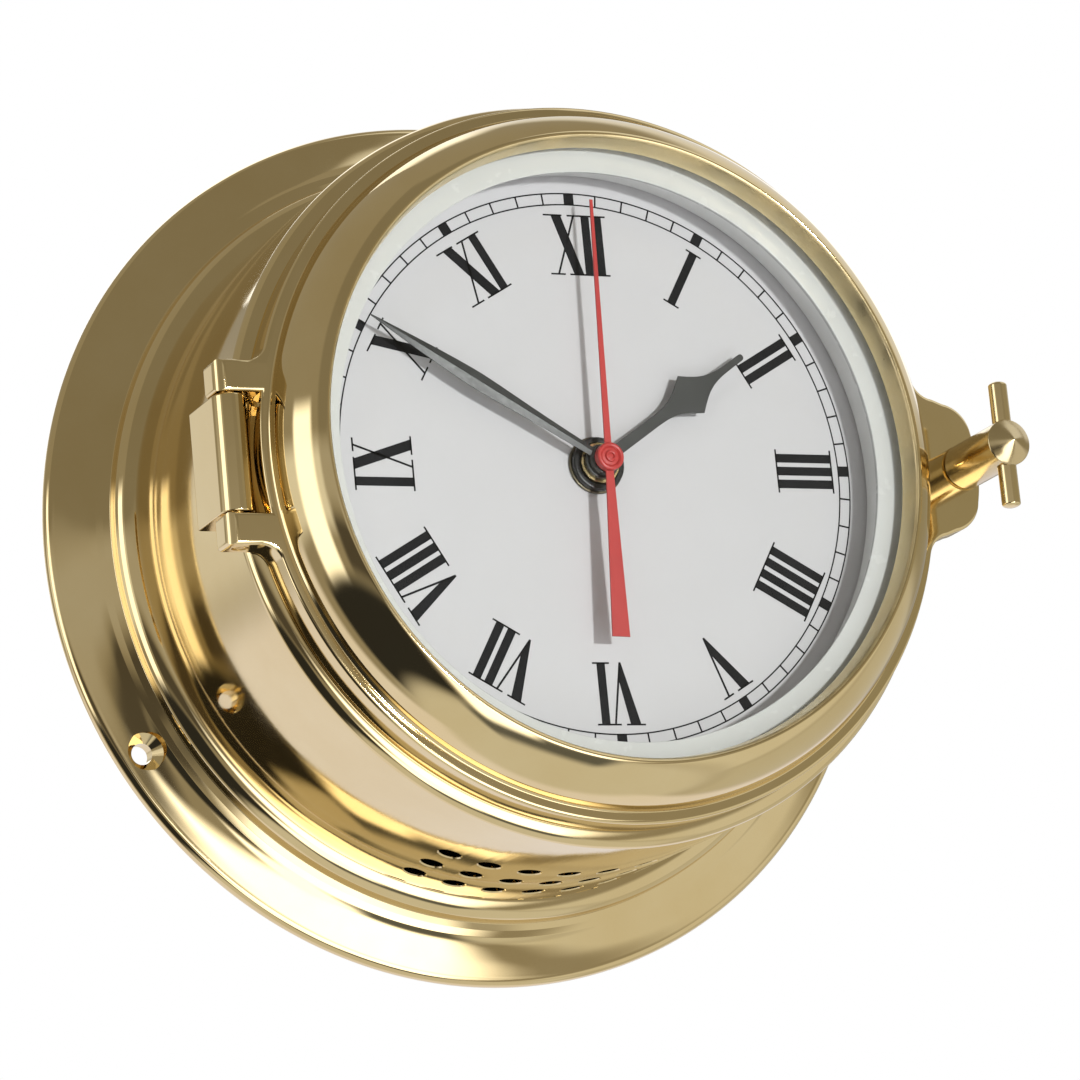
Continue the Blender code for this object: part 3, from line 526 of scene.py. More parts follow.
LOOKS = {
    "steel": brushed_metal("steel", (0.62, 0.62, 0.63), (0.50, 0.50, 0.52), 0.26, (500, 5000, 500)),
    "white_lacquer": satin_paint("white_lacquer", (0.86, 0.86, 0.85), (0.84, 0.84, 0.83), 0.16, 900.0,
                                 0.000003, Coat_Weight=0.6, Coat_Roughness=0.05),
    "dial_ink": satin_paint("dial_ink", (0.008, 0.008, 0.01), (0.014, 0.014, 0.016), 0.6, 5000.0, 0.000004,
                            Specular_IOR_Level=0.1),
    "hand_red": satin_paint("hand_red", (0.52, 0.040, 0.036), (0.45, 0.032, 0.03), 0.36, 5000.0, 0.000006,
                            Coat_Weight=0.15),
    "battery_wrap": satin_paint("battery_wrap", (0.05, 0.07, 0.12), (0.04, 0.05, 0.09), 0.25, 800.0, 0.00001,
                                Coat_Weight=0.5),
    "clear_glass": clear_glass(),
    "copper": wound_copper(),
}
LOOKS.update({name: brass(name, *values) for name, values in BRASSES.items()})
LOOKS.update({name: satin_paint(name, *values) for name, values in PAINTS.items()})


def dress_cad_nodes():
    """Every CAD node that stays takes the material of its slot."""
    for row in frame["record"]["subparts"]:
        node = frame["nodes"][row["node"]]
        node.data.materials.clear()
        node.data.materials.append(LOOKS[row["material_slot"]])


# ---- Case ----------------------------------------------------------------------
def build_flange():
    """Rounded lip, shallow cove, small step and quarter-round moulding."""
    inner = BARREL_RADIUS - 0.1
    moulding = ellipse_arc((BARREL_RADIUS + 0.3, 9.5), 4.1, 3.9, 90, 0, 18)
    step = [(78.3, 8.3, 0.3), (79.6, 7.5, 0.5)]
    cove = smooth_line([(80.8, 7.0), (82.4, 5.9), (85.4, 4.6), (FLANGE_RADIUS - 1.6, 3.8)], 6)
    lip = ellipse_arc((FLANGE_RADIUS - 1.6, 1.8), 1.6, 2.0, 84, -60, 16)
    corners = [(inner, 13.4, 0.0)] + corners_of(moulding) + step + corners_of(cove) + corners_of(lip)
    corners += [(FLANGE_RADIUS - 1.0, 0.0, 0.2), (inner, 0.0, 0.0)]
    neck = MOUNT_LEVEL - (MOUNT_SINK - MOUNT_HOLE)
    sink = [(0, 12), (MOUNT_SINK, 12), (MOUNT_SINK, MOUNT_LEVEL), (MOUNT_HOLE, neck), (MOUNT_HOLE, -2),
            (0, -2)]
    places = [place_at(*clock_point(MOUNT_CIRCLE, clock), 0) for clock in MOUNT_CLOCKS]
    flange = carve(lathe(rounded(corners)), *[lathe(sink, ROUND_STEPS, place) for place in places])
    show("flange_turned", flange, "polished_brass", "case", ["mounting_flange"])


def vent_tools():
    """One flared cutter for each vent hole."""
    first = 180.0 - VENT_PITCH_DEG * (VENTS_PER_ROW - 1) / 2
    flared = [(0, 4), (3.2, 4), (VENT_RADIUS + 0.35, 0.05), (VENT_RADIUS, -0.25), (VENT_RADIUS, -5), (0, -5)]
    tools = []
    for row_z in VENT_ROWS:
        for i in range(VENTS_PER_ROW):
            x, y = clock_point(BARREL_RADIUS, first + VENT_PITCH_DEG * i)
            outward = Vector((x, y, 0)).to_track_quat("Z", "Y").to_matrix().to_4x4()
            tools.append(lathe(flared, 28, place_at(x, y, row_z) @ outward))
    return tools


def build_barrel():
    """A spun tube with a rolled front shoulder and a patch of vents underneath."""
    bore = BARREL_RADIUS - 1.8
    shoulder = ellipse_arc((70.5, 60.9), BARREL_RADIUS - 70.5, CASE_FRONT - 60.9, 90, 0, 12)
    inside = [(BARREL_RADIUS, 0.3), (bore, 0.3), (bore, 2.5), (65.0, 2.5), (65.0, 4.3), (bore, 4.3),
              (bore, 61.5), (52.0, 61.5), (52.0, CASE_FRONT)]
    seat = rod(BOSS_RADIUS + 0.3, BOSS_BACK - 0.3, 70, place=place_at(CLAMP_X, 0, 0))
    places = [place_at(*clock_point(DIAL_SCREW_CIRCLE, clock), 0) for clock in MOUNT_CLOCKS]
    tools = [merge(vent_tools()), seat, *[rod(1.3, 58, 70, 24, place) for place in places]]
    show("barrel_spun", carve(lathe(shoulder + inside), *tools), "polished_brass", "case", ["case_barrel"])


def build_back():
    """The back plate and its three slotted countersunk screws."""
    sink = [(0, 4), (1.6, 4), (1.6, 1.6), (3.2, 0.0), (3.2, -1.0), (0, -1.0)]
    places = [place_at(*clock_point(BACK_SCREW_CIRCLE, clock), 0) for clock in BACK_SCREW_CLOCKS]
    edge = [(0, 0.0), (BACK_PLATE_RADIUS - 0.4, 0.0), (BACK_PLATE_RADIUS, 0.4),
            (BACK_PLATE_RADIUS, BACK_PLATE_FRONT), (0, BACK_PLATE_FRONT)]
    plate = carve(lathe(edge), *[lathe(sink, ROUND_STEPS, place) for place in places])
    show("back_plate_turned", plate, "plain_brass", "case", ["back_plate"])
    screw = [(0, BACK_SCREW_END), (1.3, BACK_SCREW_END), (1.3, 1.6), (2.75, 0.15), (2.7, 0.05), (0, 0.05)]
    for number, place in enumerate(places, start=1):
        slot = slab([[(-4, -0.35), (4, -0.35), (4, 0.35), (-4, 0.35)]], -1.0, 0.75, 0.0, place)
        show(f"back_screw_slotted_{number}", carve(lathe(screw, ROUND_STEPS, place), slot), "steel", "case",
             [f"back_screw_{number}"])


# ---- Hinge ---------------------------------------------------------------------
def build_knuckle():
    """The fixed knuckle on its flat-sided block, which fits the round of the barrel."""
    back = BLOCK_BACK - HINGE_Z
    behind_bezel = BEZEL_BACK - 0.3 - HINGE_Z
    crown = ellipse_arc((0, 0), KNUCKLE_RADIUS, KNUCKLE_RADIUS, -10, 180, 28)
    block = corners_of(crown) + [(-KNUCKLE_RADIUS, back, 0.9), (BLOCK_RIGHT, back, 0.0),
                                 (BLOCK_RIGHT, behind_bezel - 0.2, 0.0), (KNUCKLE_RADIUS, behind_bezel, 0.2)]
    shape = slab([rounded(block)], -KNUCKLE_HALF, KNUCKLE_HALF, 0.35, upright(HINGE_X, 0, HINGE_Z))
    skin = BARREL_RADIUS - 0.05
    round_of_barrel = lathe([(0, CASE_FRONT + 1), (BARREL_RADIUS - 3.4, CASE_FRONT + 0.1),
                             (BARREL_RADIUS - 1.0, CASE_FRONT - 0.8), (skin, 60.0), (skin, 40), (0, 40)])
    show("hinge_knuckle", carve(shape, round_of_barrel), "polished_brass", "case", ["hinge_block"])


def build_hinge_pin():
    """A plain pin with domed ends."""
    dome = ellipse_arc((0, EAR_OUTER - 0.35), PIN_RADIUS, 0.35, 90, 0, 6)
    pin = dome + [(x, -z) for x, z in reversed(dome)]
    show("hinge_pin_turned", lathe(pin, 40, upright(HINGE_X, 0, HINGE_Z)), "plain_brass", "case",
         ["hinge_pin"])


# ---- Bezel ---------------------------------------------------------------------
def rim_outline():
    """The back plate's edge: the rim circle with the hinge ears and the clamp lug blended in."""
    centre_y = EAR_OUTER + EAR_FILLET
    centre_x = -math.sqrt((BEZEL_RIM + EAR_FILLET) ** 2 - centre_y ** 2)
    ear_deg = math.degrees(math.atan2(centre_y, centre_x))
    sweep = ellipse_arc((centre_x, centre_y), EAR_FILLET, EAR_FILLET, ear_deg - 180, -90, 12)
    left = HINGE_X - KNUCKLE_RADIUS
    tip = [(left, EAR_OUTER, 0.95), (left, EAR_INNER, 0.8)]
    slot_deg = math.degrees(math.asin(EAR_INNER / SLOT_RADIUS))
    slot = ellipse_arc((0, 0), SLOT_RADIUS, SLOT_RADIUS, 180 - slot_deg, 180, 10)[:-1]
    upper_ear = corners_of(sweep) + tip + corners_of(slot)
    ears = upper_ear + [(-SLOT_RADIUS, 0.0, 0.0)] + below(upper_ear)

    corner_y = LUG_HALF - LUG_CORNER
    fillet_y = LUG_HALF + LUG_FILLET + 0.7
    fillet_x = math.sqrt((BEZEL_RIM + LUG_FILLET) ** 2 - fillet_y ** 2)
    rim_deg = math.degrees(math.atan2(fillet_y, fillet_x))
    corner = ellipse_arc((LUG_CORNER_X, corner_y), LUG_CORNER, LUG_CORNER, 8, 80, 14)
    hollow = ellipse_arc((fillet_x, fillet_y), LUG_FILLET, LUG_FILLET, 262, 180 + rim_deg, 10)
    nose = smooth_line([(LUG_TIP, 0.0), (LUG_TIP - 0.2, 4.0), corner[0]], 5)[:-1]
    upper_lug = corners_of(nose + corner + hollow)
    rim = corners_of(ellipse_arc((0, 0), BEZEL_RIM, BEZEL_RIM, rim_deg + 1.5, ear_deg - 1.5, 90))
    return rounded(upper_lug + rim + ears + below(rim) + below(upper_lug[1:]))


def ear_rounding():
    """A cutter that rounds the front left edge of both hinge ears."""
    left = -KNUCKLE_RADIUS
    front = PLATE_FRONT - HINGE_Z
    arc = ellipse_arc((left + EAR_ROUND, front - EAR_ROUND), EAR_ROUND, EAR_ROUND, 180, 90, 10)
    outline = [(left - 1, front - EAR_ROUND), *arc, (left + EAR_ROUND, front + 1), (left - 1, front + 1)]
    return slab([outline], -EAR_OUTER - 1, EAR_OUTER + 1, 0.0, upright(HINGE_X, 0, HINGE_Z))


def bezel_bead():
    """A small round nose beside the glass and a long curved flank, meeting on one tangent."""
    nose = ellipse_arc(NOSE, NOSE_RADIUS, NOSE_RADIUS, NOSE_START_DEG, FLANK_START_DEG, 16)
    centre = polar(FLANK_RADIUS - NOSE_RADIUS, FLANK_START_DEG + 180, NOSE)
    flank = ellipse_arc(centre, FLANK_RADIUS, FLANK_RADIUS, FLANK_START_DEG, FLANK_END_DEG, 40)
    return nose + flank[1:]


def build_bezel_throat():
    """The satin skin of the bezel's bore, from the glass to the inner side of the nose."""
    skin = 0.03
    core = NOSE_RADIUS - 0.1
    end_deg = 112
    outer = ellipse_arc(NOSE, NOSE_RADIUS + skin, NOSE_RADIUS + skin, NOSE_START_DEG, end_deg, 10)
    inner = ellipse_arc(NOSE, core, core, end_deg, NOSE_START_DEG, 10)
    foot = GLASS_SEAT + 0.01
    seen, buried = BEZEL_BORE - skin, BEZEL_BORE + 0.15
    ring = [(seen, foot), (seen, NOSE_FOOT)] + outer + inner + [(buried, NOSE_FOOT), (buried, foot)]
    show("bezel_throat", lathe(ring), "satin_brass", "bezel")


def build_bezel_ring():
    """The turned ring: bead, groove for the seal, recess for the glass, and bore."""
    root = PLATE_FRONT - 0.02
    step = BEZEL_BACK + 0.1
    foot = [(68.9, root, 0.3), (BEZEL_FOOT, root, 0.0), (BEZEL_FOOT, step, 0.0)]
    outer, inner, bottom = SEAL_OUTER + SEAL_GAP, SEAL_INNER - SEAL_GAP, SEAL_FRONT + SEAL_GAP
    groove = [(outer, step, 0.0), (outer, bottom, 0.0), (inner, bottom, 0.0), (inner, BEZEL_BACK, 0.2)]
    wall = GLASS_RADIUS + RECESS_GAP
    recess = [(SPIGOT_BORE, BEZEL_BACK, 0.2), (SPIGOT_BORE, SPIGOT_DEPTH, 0.0), (wall, SPIGOT_DEPTH, 0.2),
              (wall, GLASS_SEAT, 0.0)]
    bore = [(BEZEL_BORE, GLASS_SEAT, 0.15), (BEZEL_BORE, NOSE_FOOT, 0.3)]
    corners = corners_of(bezel_bead()) + foot + groove + recess + bore
    show("bezel_turned", lathe(rounded(corners)), "polished_brass", "bezel", ["bezel_ring"])


def build_bezel_plate():
    """The flat back plate with the hinge ears and the clamp lug."""
    bore = rod(PIN_RADIUS + 0.1, -25, 25, 40, upright(HINGE_X, 0, HINGE_Z))
    hole = rod(2.5, 60, 75, 40, place_at(CLAMP_X, 0, 0))
    inside = rod(PLATE_BORE, 60, 75, FINE_STEPS)
    plate = slab([rim_outline()], BEZEL_BACK, PLATE_FRONT, 0.7)
    show("bezel_plate", carve(plate, inside, ear_rounding(), bore, hole), "polished_brass", "bezel",
         ["bezel_ring"])


def build_glazing():
    """The pane, the ring that holds it from behind, and the seal against the case."""
    pane = rounded([(0.0, GLASS_FRONT, 0.0), (GLASS_RADIUS, GLASS_FRONT, 0.3),
                    (GLASS_RADIUS, GLASS_BACK, 0.3), (0.0, GLASS_BACK, 0.0)])
    show("glass_pane", lathe(pane, 180), "clear_glass", "bezel", ["glass"])
    retainer = rounded([(GLASS_RADIUS, RETAINER_FRONT, 0.1), (GLASS_RADIUS, RETAINER_BACK, 0.15),
                        (56.6, RETAINER_BACK, 0.35), (56.2, RETAINER_FRONT, 0.2)])
    # The retainer is white lacquer painted darker grey: painted shade.
    show("retainer_turned", lathe(retainer), "painted_shade_white_lacquer", "bezel", ["glass_retaining_ring"])
    seal = rounded([(SEAL_OUTER, SEAL_FRONT, 0.1), (SEAL_OUTER, SEAL_BACK, 0.5), (SEAL_INNER, SEAL_BACK, 0.5),
                    (SEAL_INNER, SEAL_FRONT, 0.1)])
    show("seal_moulded", lathe(seal, 180), "rubber", "bezel", ["bezel_seal"])


# ---- Clamp ---------------------------------------------------------------------
def build_clamp_boss():
    """The bored boss on the side of the case."""
    neck, step = 2.8, 56.2
    outside = [(BOSS_RADIUS, BOSS_FRONT, 0.4), (BOSS_RADIUS, BOSS_BACK + 2.0, 1.2), (4.2, BOSS_BACK, 0.5)]
    inside = [(neck, BOSS_BACK, 0.2), (neck, step, 0.0), (4.5, step, 0.0), (4.5, BOSS_FRONT, 0.2)]
    boss = rounded(outside + inside)
    show("clamp_boss_turned", lathe(boss, ROUND_STEPS, place_at(CLAMP_X, 0, 0)), "polished_brass", "case",
         ["clamp_boss"])


def build_clamp_screw():
    """A thick stem with a flat cone for its end, and a grooved shank behind the lug."""
    foot = PLATE_FRONT + 0.3
    crown = smooth_line([(0.0, HEAD_TOP), (1.6, HEAD_TOP - 0.62), (3.0, HEAD_TOP - 1.3),
                         (4.1, HEAD_TOP - 2.0)], 5)
    screw = corners_of(crown) + [(STEM_RADIUS, HEAD_TOP - 2.35, 0.35), (STEM_RADIUS, foot, 0.45)]
    clip_front, clip_back = 57.9, 56.7
    screw += [(SHANK_RADIUS, foot, 0.0), (SHANK_RADIUS, clip_front, 0.0), (CLIP_NECK, clip_front, 0.0),
              (CLIP_NECK, clip_back, 0.0)]
    for i in range(GROOVES):
        level = GROOVES_FRONT - GROOVE_PITCH * i
        screw += [(2.2, level, 0.0), (1.9, level - GROOVE_PITCH / 2, 0.0)]
    screw += [(1.4, SCREW_END, 0.0), (0.0, SCREW_END, 0.0)]
    turned = lathe(rounded(screw), 96, place_at(CLAMP_X, 0, 0))
    bore = rod(BAR_RADIUS + 0.06, -10, 10, 40, upright(CLAMP_X, 0, BAR_Z))
    show("clamp_screw_turned", carve(turned, bore), "faced_brass", "clamp", ["clamp_screw"])


def build_clamp_bar():
    """The cross bar with domed ends."""
    dome = ellipse_arc((0, BAR_HALF - 0.8), BAR_RADIUS, 0.8, 90, 0, 10)
    flat = [(BAR_RADIUS * 0.05, BAR_HALF)]
    end = dome[:1] + flat + dome[1:]
    turned = lathe(end + [(x, -z) for x, z in reversed(end)], 48, upright(CLAMP_X, 0, BAR_Z))
    show("clamp_bar_turned", turned, "polished_brass", "clamp", ["clamp_tommy_bar"])


# ---- Dial ----------------------------------------------------------------------
def build_dial_plate():
    """The white disc that carries the print."""
    plate = rounded([(DIAL_RADIUS, DIAL_FACE, 0.2), (DIAL_RADIUS, DIAL_BACK, 0.2), (4.3, DIAL_BACK, 0.0),
                     (4.3, DIAL_FACE, 0.1)])
    show("dial_disc", lathe(plate), "dial_white", "case", ["dial_plate"])


def build_dial_ring():
    """The white wall round the dial, and the three slotted screws in its rim."""
    outer, rim, ledge = 59.6, 67.4, 62.0
    over_dial = DIAL_FACE + 0.2
    wall = rounded([(outer, RING_FRONT, 0.35), (outer, rim, 0.3), (RING_RADIUS, rim, 0.3),
                    (RING_RADIUS, DIAL_BACK, 0.2), (ledge, DIAL_BACK, 0.0), (ledge, over_dial, 0.0),
                    (RING_BORE, over_dial, 0.25), (RING_BORE, RING_FRONT, 0.4)])
    places = [place_at(*clock_point(DIAL_SCREW_CIRCLE, clock), 0) for clock in MOUNT_CLOCKS]
    ring = carve(lathe(wall), *[rod(1.15, 60, 72, 24, place) for place in places])
    show("dial_ring_turned", ring, "white_lacquer", "case", ["dial_ring"])
    shoulder = DIAL_SCREW_HEAD - 0.5
    under = shoulder - 0.5
    screw = [(0, DIAL_SCREW_HEAD)] + ellipse_arc((0.9, shoulder), 0.5, 0.5, 90, 0, 6)
    screw += [(1.4, under), (0.95, under), (0.95, DIAL_SCREW_END), (0, DIAL_SCREW_END)]
    for number, place in enumerate(places, start=1):
        slot = slab([[(-2, -0.2), (2, -0.2), (2, 0.2), (-2, 0.2)]], shoulder, shoulder + 2.0, 0.0, place)
        show(f"dial_screw_slotted_{number}", carve(lathe(screw, 32, place), slot), "steel", "case",
             [f"dial_screw_{number}"])


def turned_to(clock_deg):
    return Matrix.Rotation(math.radians(-clock_deg), 4, "Z")


def print_patch(outline, clock_deg):
    """A flat closed piece of print, turned to a clock angle about the centre."""
    shape = bmesh.new()
    face = shape.faces.new([shape.verts.new((x, y, PRINT_HIGH)) for x, y in outline])
    lower = bmesh.ops.extrude_face_region(shape, geom=[face])
    moved = [v for v in lower["geom"] if isinstance(v, bmesh.types.BMVert)]
    bmesh.ops.translate(shape, verts=moved, vec=(0, 0, PRINT_LOW - PRINT_HIGH))
    bmesh.ops.recalc_face_normals(shape, faces=shape.faces[:])
    shape.transform(turned_to(clock_deg))
    return shape


def bar(x, width):
    """An upright stroke of a numeral."""
    return [(x - width / 2, 0), (x + width / 2, 0), (x + width / 2, 1), (x - width / 2, 1)]


def slope(low_x, high_x, width):
    """A slanting stroke of a numeral, cut level at top and bottom."""
    return [(low_x - width / 2, 0), (low_x + width / 2, 0), (high_x + width / 2, 1), (high_x - width / 2, 1)]


# Widths of the numerals' strokes and gaps, in millimetres.
THICK_I = 1.75
THICK_SLOPE = 2.1
HAIR = 0.42
I_PITCH = 2.6
SERIF = 0.34
SERIF_REACH = 0.9
GAP_BEFORE = {"I": 1.2 - THICK_I / 2, "X": 0.3, "V": 0.5}


def letter_i(at, count):
    """Side by side I's under one pair of serifs."""
    end = at + THICK_I + I_PITCH * (count - 1)
    strokes = [bar(at + THICK_I / 2 + I_PITCH * i, THICK_I) for i in range(count)]
    return strokes, [(at - SERIF_REACH, end + SERIF_REACH, level) for level in (0, 1)], end


def letter_x(at):
    strokes = [slope(at + 6.2, at + 2.1, THICK_SLOPE), slope(at + 1.7, at + 6.0, HAIR)]
    serifs = [(at - 0.5, at + 3.5, 1), (at + 4.6, at + 7.3, 1), (at + 0.1, at + 3.2, 0),
              (at + 4.15, at + 7.8, 0)]
    return strokes, serifs, at + 7.2


def letter_v(at):
    """A thick stroke that a hairline meets a little above its foot."""
    apex = at + 4.0
    thin_foot, thin_top = apex + 0.1, at + 6.15
    meeting = 0.27
    meet_x = thin_foot + (thin_top - thin_foot) * meeting
    thick = [(apex - 0.1, 0), (thin_foot, 0), (meet_x, meeting), (at + 2.9, 1), (at + 0.7, 1)]
    serifs = [(at - 0.2, at + 3.8, 1), (at + 4.9, at + 7.4, 1)]
    return [thick, slope(thin_foot, thin_top, HAIR)], serifs, at + 6.9


def numeral_strokes(text):
    """Strokes as outlines with heights from 0 to 1, serifs as (x0, x1, level), and the width."""
    strokes = []
    serifs = []
    at = 0.0
    for letter, run in groupby(text):
        at += GAP_BEFORE[letter] if strokes else 0.0
        if letter == "I":
            more, feet, at = letter_i(at, len(list(run)))
        else:
            more, feet, at = letter_x(at) if letter == "X" else letter_v(at)
        strokes += more
        serifs += feet
    return strokes, serifs, at


NUMERALS = ("XII", "I", "II", "III", "IIII", "V", "VI", "VII", "VIII", "IX", "X", "XI")


def build_numerals():
    """Roman numerals round the dial, their feet towards the centre."""
    height = NUMERAL_OUTER - NUMERAL_INNER
    shapes = []
    for hour, text in enumerate(NUMERALS):
        strokes, serifs, width = numeral_strokes(text)
        clock = hour * DEG_PER_HOUR
        for stroke in strokes:
            outline = [(x - width / 2, NUMERAL_INNER + y * height) for x, y in stroke]
            shapes.append(print_patch(outline, clock))
        for left, right, level in serifs:
            base = NUMERAL_INNER + level * (height - SERIF)
            a, b = left - width / 2, right - width / 2
            shapes.append(print_patch([(a, base), (b, base), (b, base + SERIF), (a, base + SERIF)], clock))
    numerals = merge(shapes)
    numerals.transform(place_at(*NUMERAL_SHIFT, 0))
    show("dial_numerals", numerals, "dial_ink", "case", weighted=False)


def build_minute_track():
    """Two fine circles joined by a tick each minute and a block each hour."""
    shapes = []
    for radius in (TRACK_INNER, TRACK_OUTER):
        a, b = radius - TRACK_LINE / 2, radius + TRACK_LINE / 2
        shapes.append(lathe([(b, PRINT_HIGH), (b, PRINT_LOW), (a, PRINT_LOW), (a, PRINT_HIGH)]))
    for minute in range(60):
        half = HOUR_BLOCK_HALF if minute % 5 == 0 else TICK_HALF
        tick = [(-half, TRACK_INNER), (half, TRACK_INNER), (half, TRACK_OUTER), (-half, TRACK_OUTER)]
        shapes.append(print_patch(tick, minute * DEG_PER_MINUTE))
    show("dial_minute_track", merge(shapes), "dial_ink", "case", weighted=False)


def build_centre():
    """Washer and round nut that hold the dial to the movement."""
    bore = 4.15
    low, high = span("dial_washer")[0].z, span("dial_washer")[1].z
    washer = rounded([(5.65, high, 0.2), (5.65, low, 0.1), (bore, low, 0.0), (bore, high, 0.0)])
    show("dial_washer_turned", lathe(washer, ROUND_STEPS), "dull_brass", "case", ["dial_washer"])
    low, high = span("dial_nut")[0].z, span("dial_nut")[1].z
    nut = rounded([(5.3, high, 0.35), (5.3, low, 0.15), (bore, low, 0.0), (bore, high, 0.2)])
    show("dial_nut_turned", lathe(nut, ROUND_STEPS), "nut_black", "case", ["dial_nut"])


# ---- Hands ---------------------------------------------------------------------
def hour_outline():
    """A slim stem, a spade with four hollow sides, and a thin finger with a rounded tip."""
    stem = [(1.15, 0.0)]
    widest = (4.4, 24.9)
    finger = (0.68, 38.8)
    shoulder = smooth_line([(1.12, 15.0), (1.25, 17.6), (1.6, 19.6), (2.4, 21.6), (3.6, 23.6), widest], 5)
    front = smooth_line([widest, (3.3, 26.4), (2.0, 28.5), (1.2, 30.6), (0.8, 33.0), (0.7, 36.0), finger],
                        5)[1:]
    cap = ellipse_arc((0, finger[1]), finger[0], 0.65, 0, 90, 6)[1:]
    return mirrored(stem + shoulder + front + cap)


def second_outline():
    """A needle that narrows to its tip, and a tail that widens."""
    middle, tip, tail = 0.72, 0.3, 1.85
    reach, back = 51.8, -35.2
    return [(middle, 0.0), (tip, reach), (-tip, reach), (-middle, 0.0), (-tail, back), (tail, back)]


def build_hour_hand():
    back, front = span("hour_hand")[0].z, span("hour_hand")[1].z
    radius, bore = 3.4, 2.35
    blade = slab([hour_outline()], back + 0.15, front - 0.25, 0.12)
    hub = rounded([(radius, front, 0.2), (radius, back, 0.1), (bore, back, 0.0), (bore, front, 0.1)])
    whole = merge([carve(blade, rod(bore, 60, 75)), lathe(hub, ROUND_STEPS)])
    whole.transform(turned_to(HOUR_ANGLE))
    show("hour_hand_spade", whole, "hand_black", "hour", ["hour_hand"])


def ridged_leaf(under):
    """A long leaf on a level, with thin edges and a ridge down its middle."""
    half = smooth_line([(0.8, 0.0), (1.15, 14.0), (1.65, 26.0), (1.7, 31.0), (1.35, 38.0), (0.75, 46.0),
                        (0.12, 53.4)], 4)
    edge = under + 0.2
    shape = bmesh.new()
    rows = []
    for x, y in half:
        ridge = edge + 0.05 + 0.25 * min(1.0, x / 0.9)
        section = ((-x, under), (-x, edge), (0, ridge), (x, edge), (x, under))
        rows.append([shape.verts.new((across, y, z)) for across, z in section])
    for low, high in zip(rows, rows[1:]):
        for i in range(5):
            j = (i + 1) % 5
            shape.faces.new((low[i], low[j], high[j], high[i]))
    shape.faces.new(rows[0])
    shape.faces.new(list(reversed(rows[-1])))
    bmesh.ops.recalc_face_normals(shape, faces=shape.faces[:])
    return shape


def build_minute_hand():
    """A ridged leaf on a round hub."""
    back, front = span("minute_hand")[0].z, span("minute_hand")[1].z
    radius, bore = 3.0, 1.4
    hub = rounded([(radius, front, 0.25), (radius, back, 0.1), (bore, back, 0.0), (bore, front, 0.1)])
    whole = merge([carve(ridged_leaf(back + 0.5), rod(bore, 60, 75)), lathe(hub, ROUND_STEPS)])
    whole.transform(turned_to(MINUTE_ANGLE))
    show("minute_hand_leaf", whole, "hand_black", "minute", ["minute_hand"], sharp_deg=8)


def build_second_hand():
    """A needle with a widening tail, pressed on a hub with raised rings."""
    blade = slab([second_outline()], 71.5, 71.9, 0.08)
    face = [(0.0, 72.75), (0.55, 72.7), (0.62, 72.95)] + ellipse_arc((0.85, 72.9), 0.2, 0.1, 160, 20, 4)
    face += [(1.15, 72.55), (1.7, 72.5), (1.85, 72.7)] + ellipse_arc((2.3, 72.6), 0.45, 0.35, 120, 0, 8)
    hub = lathe(face + [(2.75, 71.3), (0, 71.3)], ROUND_STEPS)
    whole = merge([blade, hub])
    whole.transform(turned_to(SECOND_ANGLE))
    show("second_hand_needle", whole, "hand_red", "second", ["second_hand"])


# ---- Studio --------------------------------------------------------------------
CAMERA_PLACE = (-0.3961, -0.8749, -0.2333)
CAMERA_TURN_DEG = (103.772, 5.376, -24.003)
CAMERA_LENS = 161.775
FLOOR_Z = -0.42
KEY_PLACE = (0.17, -1.25, -0.055)       # a small lamp that draws the hands' shadows on the dial
KEY_SIZE = 0.09
KEY_WATTS = 9.0
FILL_PLACE = (-0.935, -0.497, -0.563)   # a broad one that lights the white rings from the lower left
FILL_SIZE = 0.5
FILL_WATTS = 3.5
TOP_PLACE = (-0.59, -0.704, 0.771)      # and one from the upper left
TOP_WATTS = 3.0

# What the brass reflects. Azimuth 0 is straight in front of the dial and grows to the right.
# Each panel: azimuth from and to, elevation from and to, softness of its edges, colour.
ROOM_COLOUR = (0.34, 0.31, 0.25, 1.0)
ROOM_PANELS = (
    (-190, 190, -100, -50, 8, (0.70, 0.69, 0.66)),    # the table under the clock
    (-60, 29, 15, 80, 2, (0.26, 0.235, 0.185)),       # the dim wall behind the camera
    (-125, -60, -6, 14, 4, (0.85, 0.85, 0.85)),       # the pale wall on the left
    (-99, -71, -20, 23, 3, (1.9, 1.9, 1.95)),         # the left window in it
    (-60, 4, 1, 14, 3, (0.46, 0.44, 0.40)),           # the strip under the dim wall
    (-108, -34, -50, -19, 4, (0.03, 0.03, 0.03)),     # the black corner at the lower left
    (-40, 30, -68, -52, 5, (0.14, 0.145, 0.15)),      # and its foot, under the low card
    (-60, 2, -17, -3, 3, (0.09, 0.08, 0.065)),        # and its edge, up to the middle
    (36, 88, -50, -3, 5, (0.72, 0.70, 0.65)),         # the right card
    (88, 130, -50, 2, 5, (0.60, 0.58, 0.52)),         # its far half
    (-12, 23, -50, -8, 5, (2.8, 2.8, 2.9)),           # the low front card
    (-30, -4, -56, -34, 4, (2.4, 2.4, 2.5)),          # and its lower left end
    (29, 125, 1, 15, 3, (0.34, 0.31, 0.23)),          # the dim rail on the right
    (31, 86, 22, 66, 4, (0.85, 0.86, 0.90)),          # the right window
    (92, 160, 16, 52, 6, (0.80, 0.79, 0.78)),         # the pale curtain beside it
    (126, 148, 17, 28, 3, (1.4, 1.4, 1.45)),          # and the light under the curtain
    (130, 200, -60, -4, 5, (0.88, 0.86, 0.93)),       # the pale wall behind, to the right
    (-200, -122, -60, -4, 5, (0.88, 0.86, 0.93)),     # and to the left
    (158, 200, -2, 60, 6, (1.5, 1.5, 1.5)),           # the white backdrop above it, to the right
    (-200, -150, -2, 22, 6, (0.78, 0.76, 0.72)),      # and to the left
)


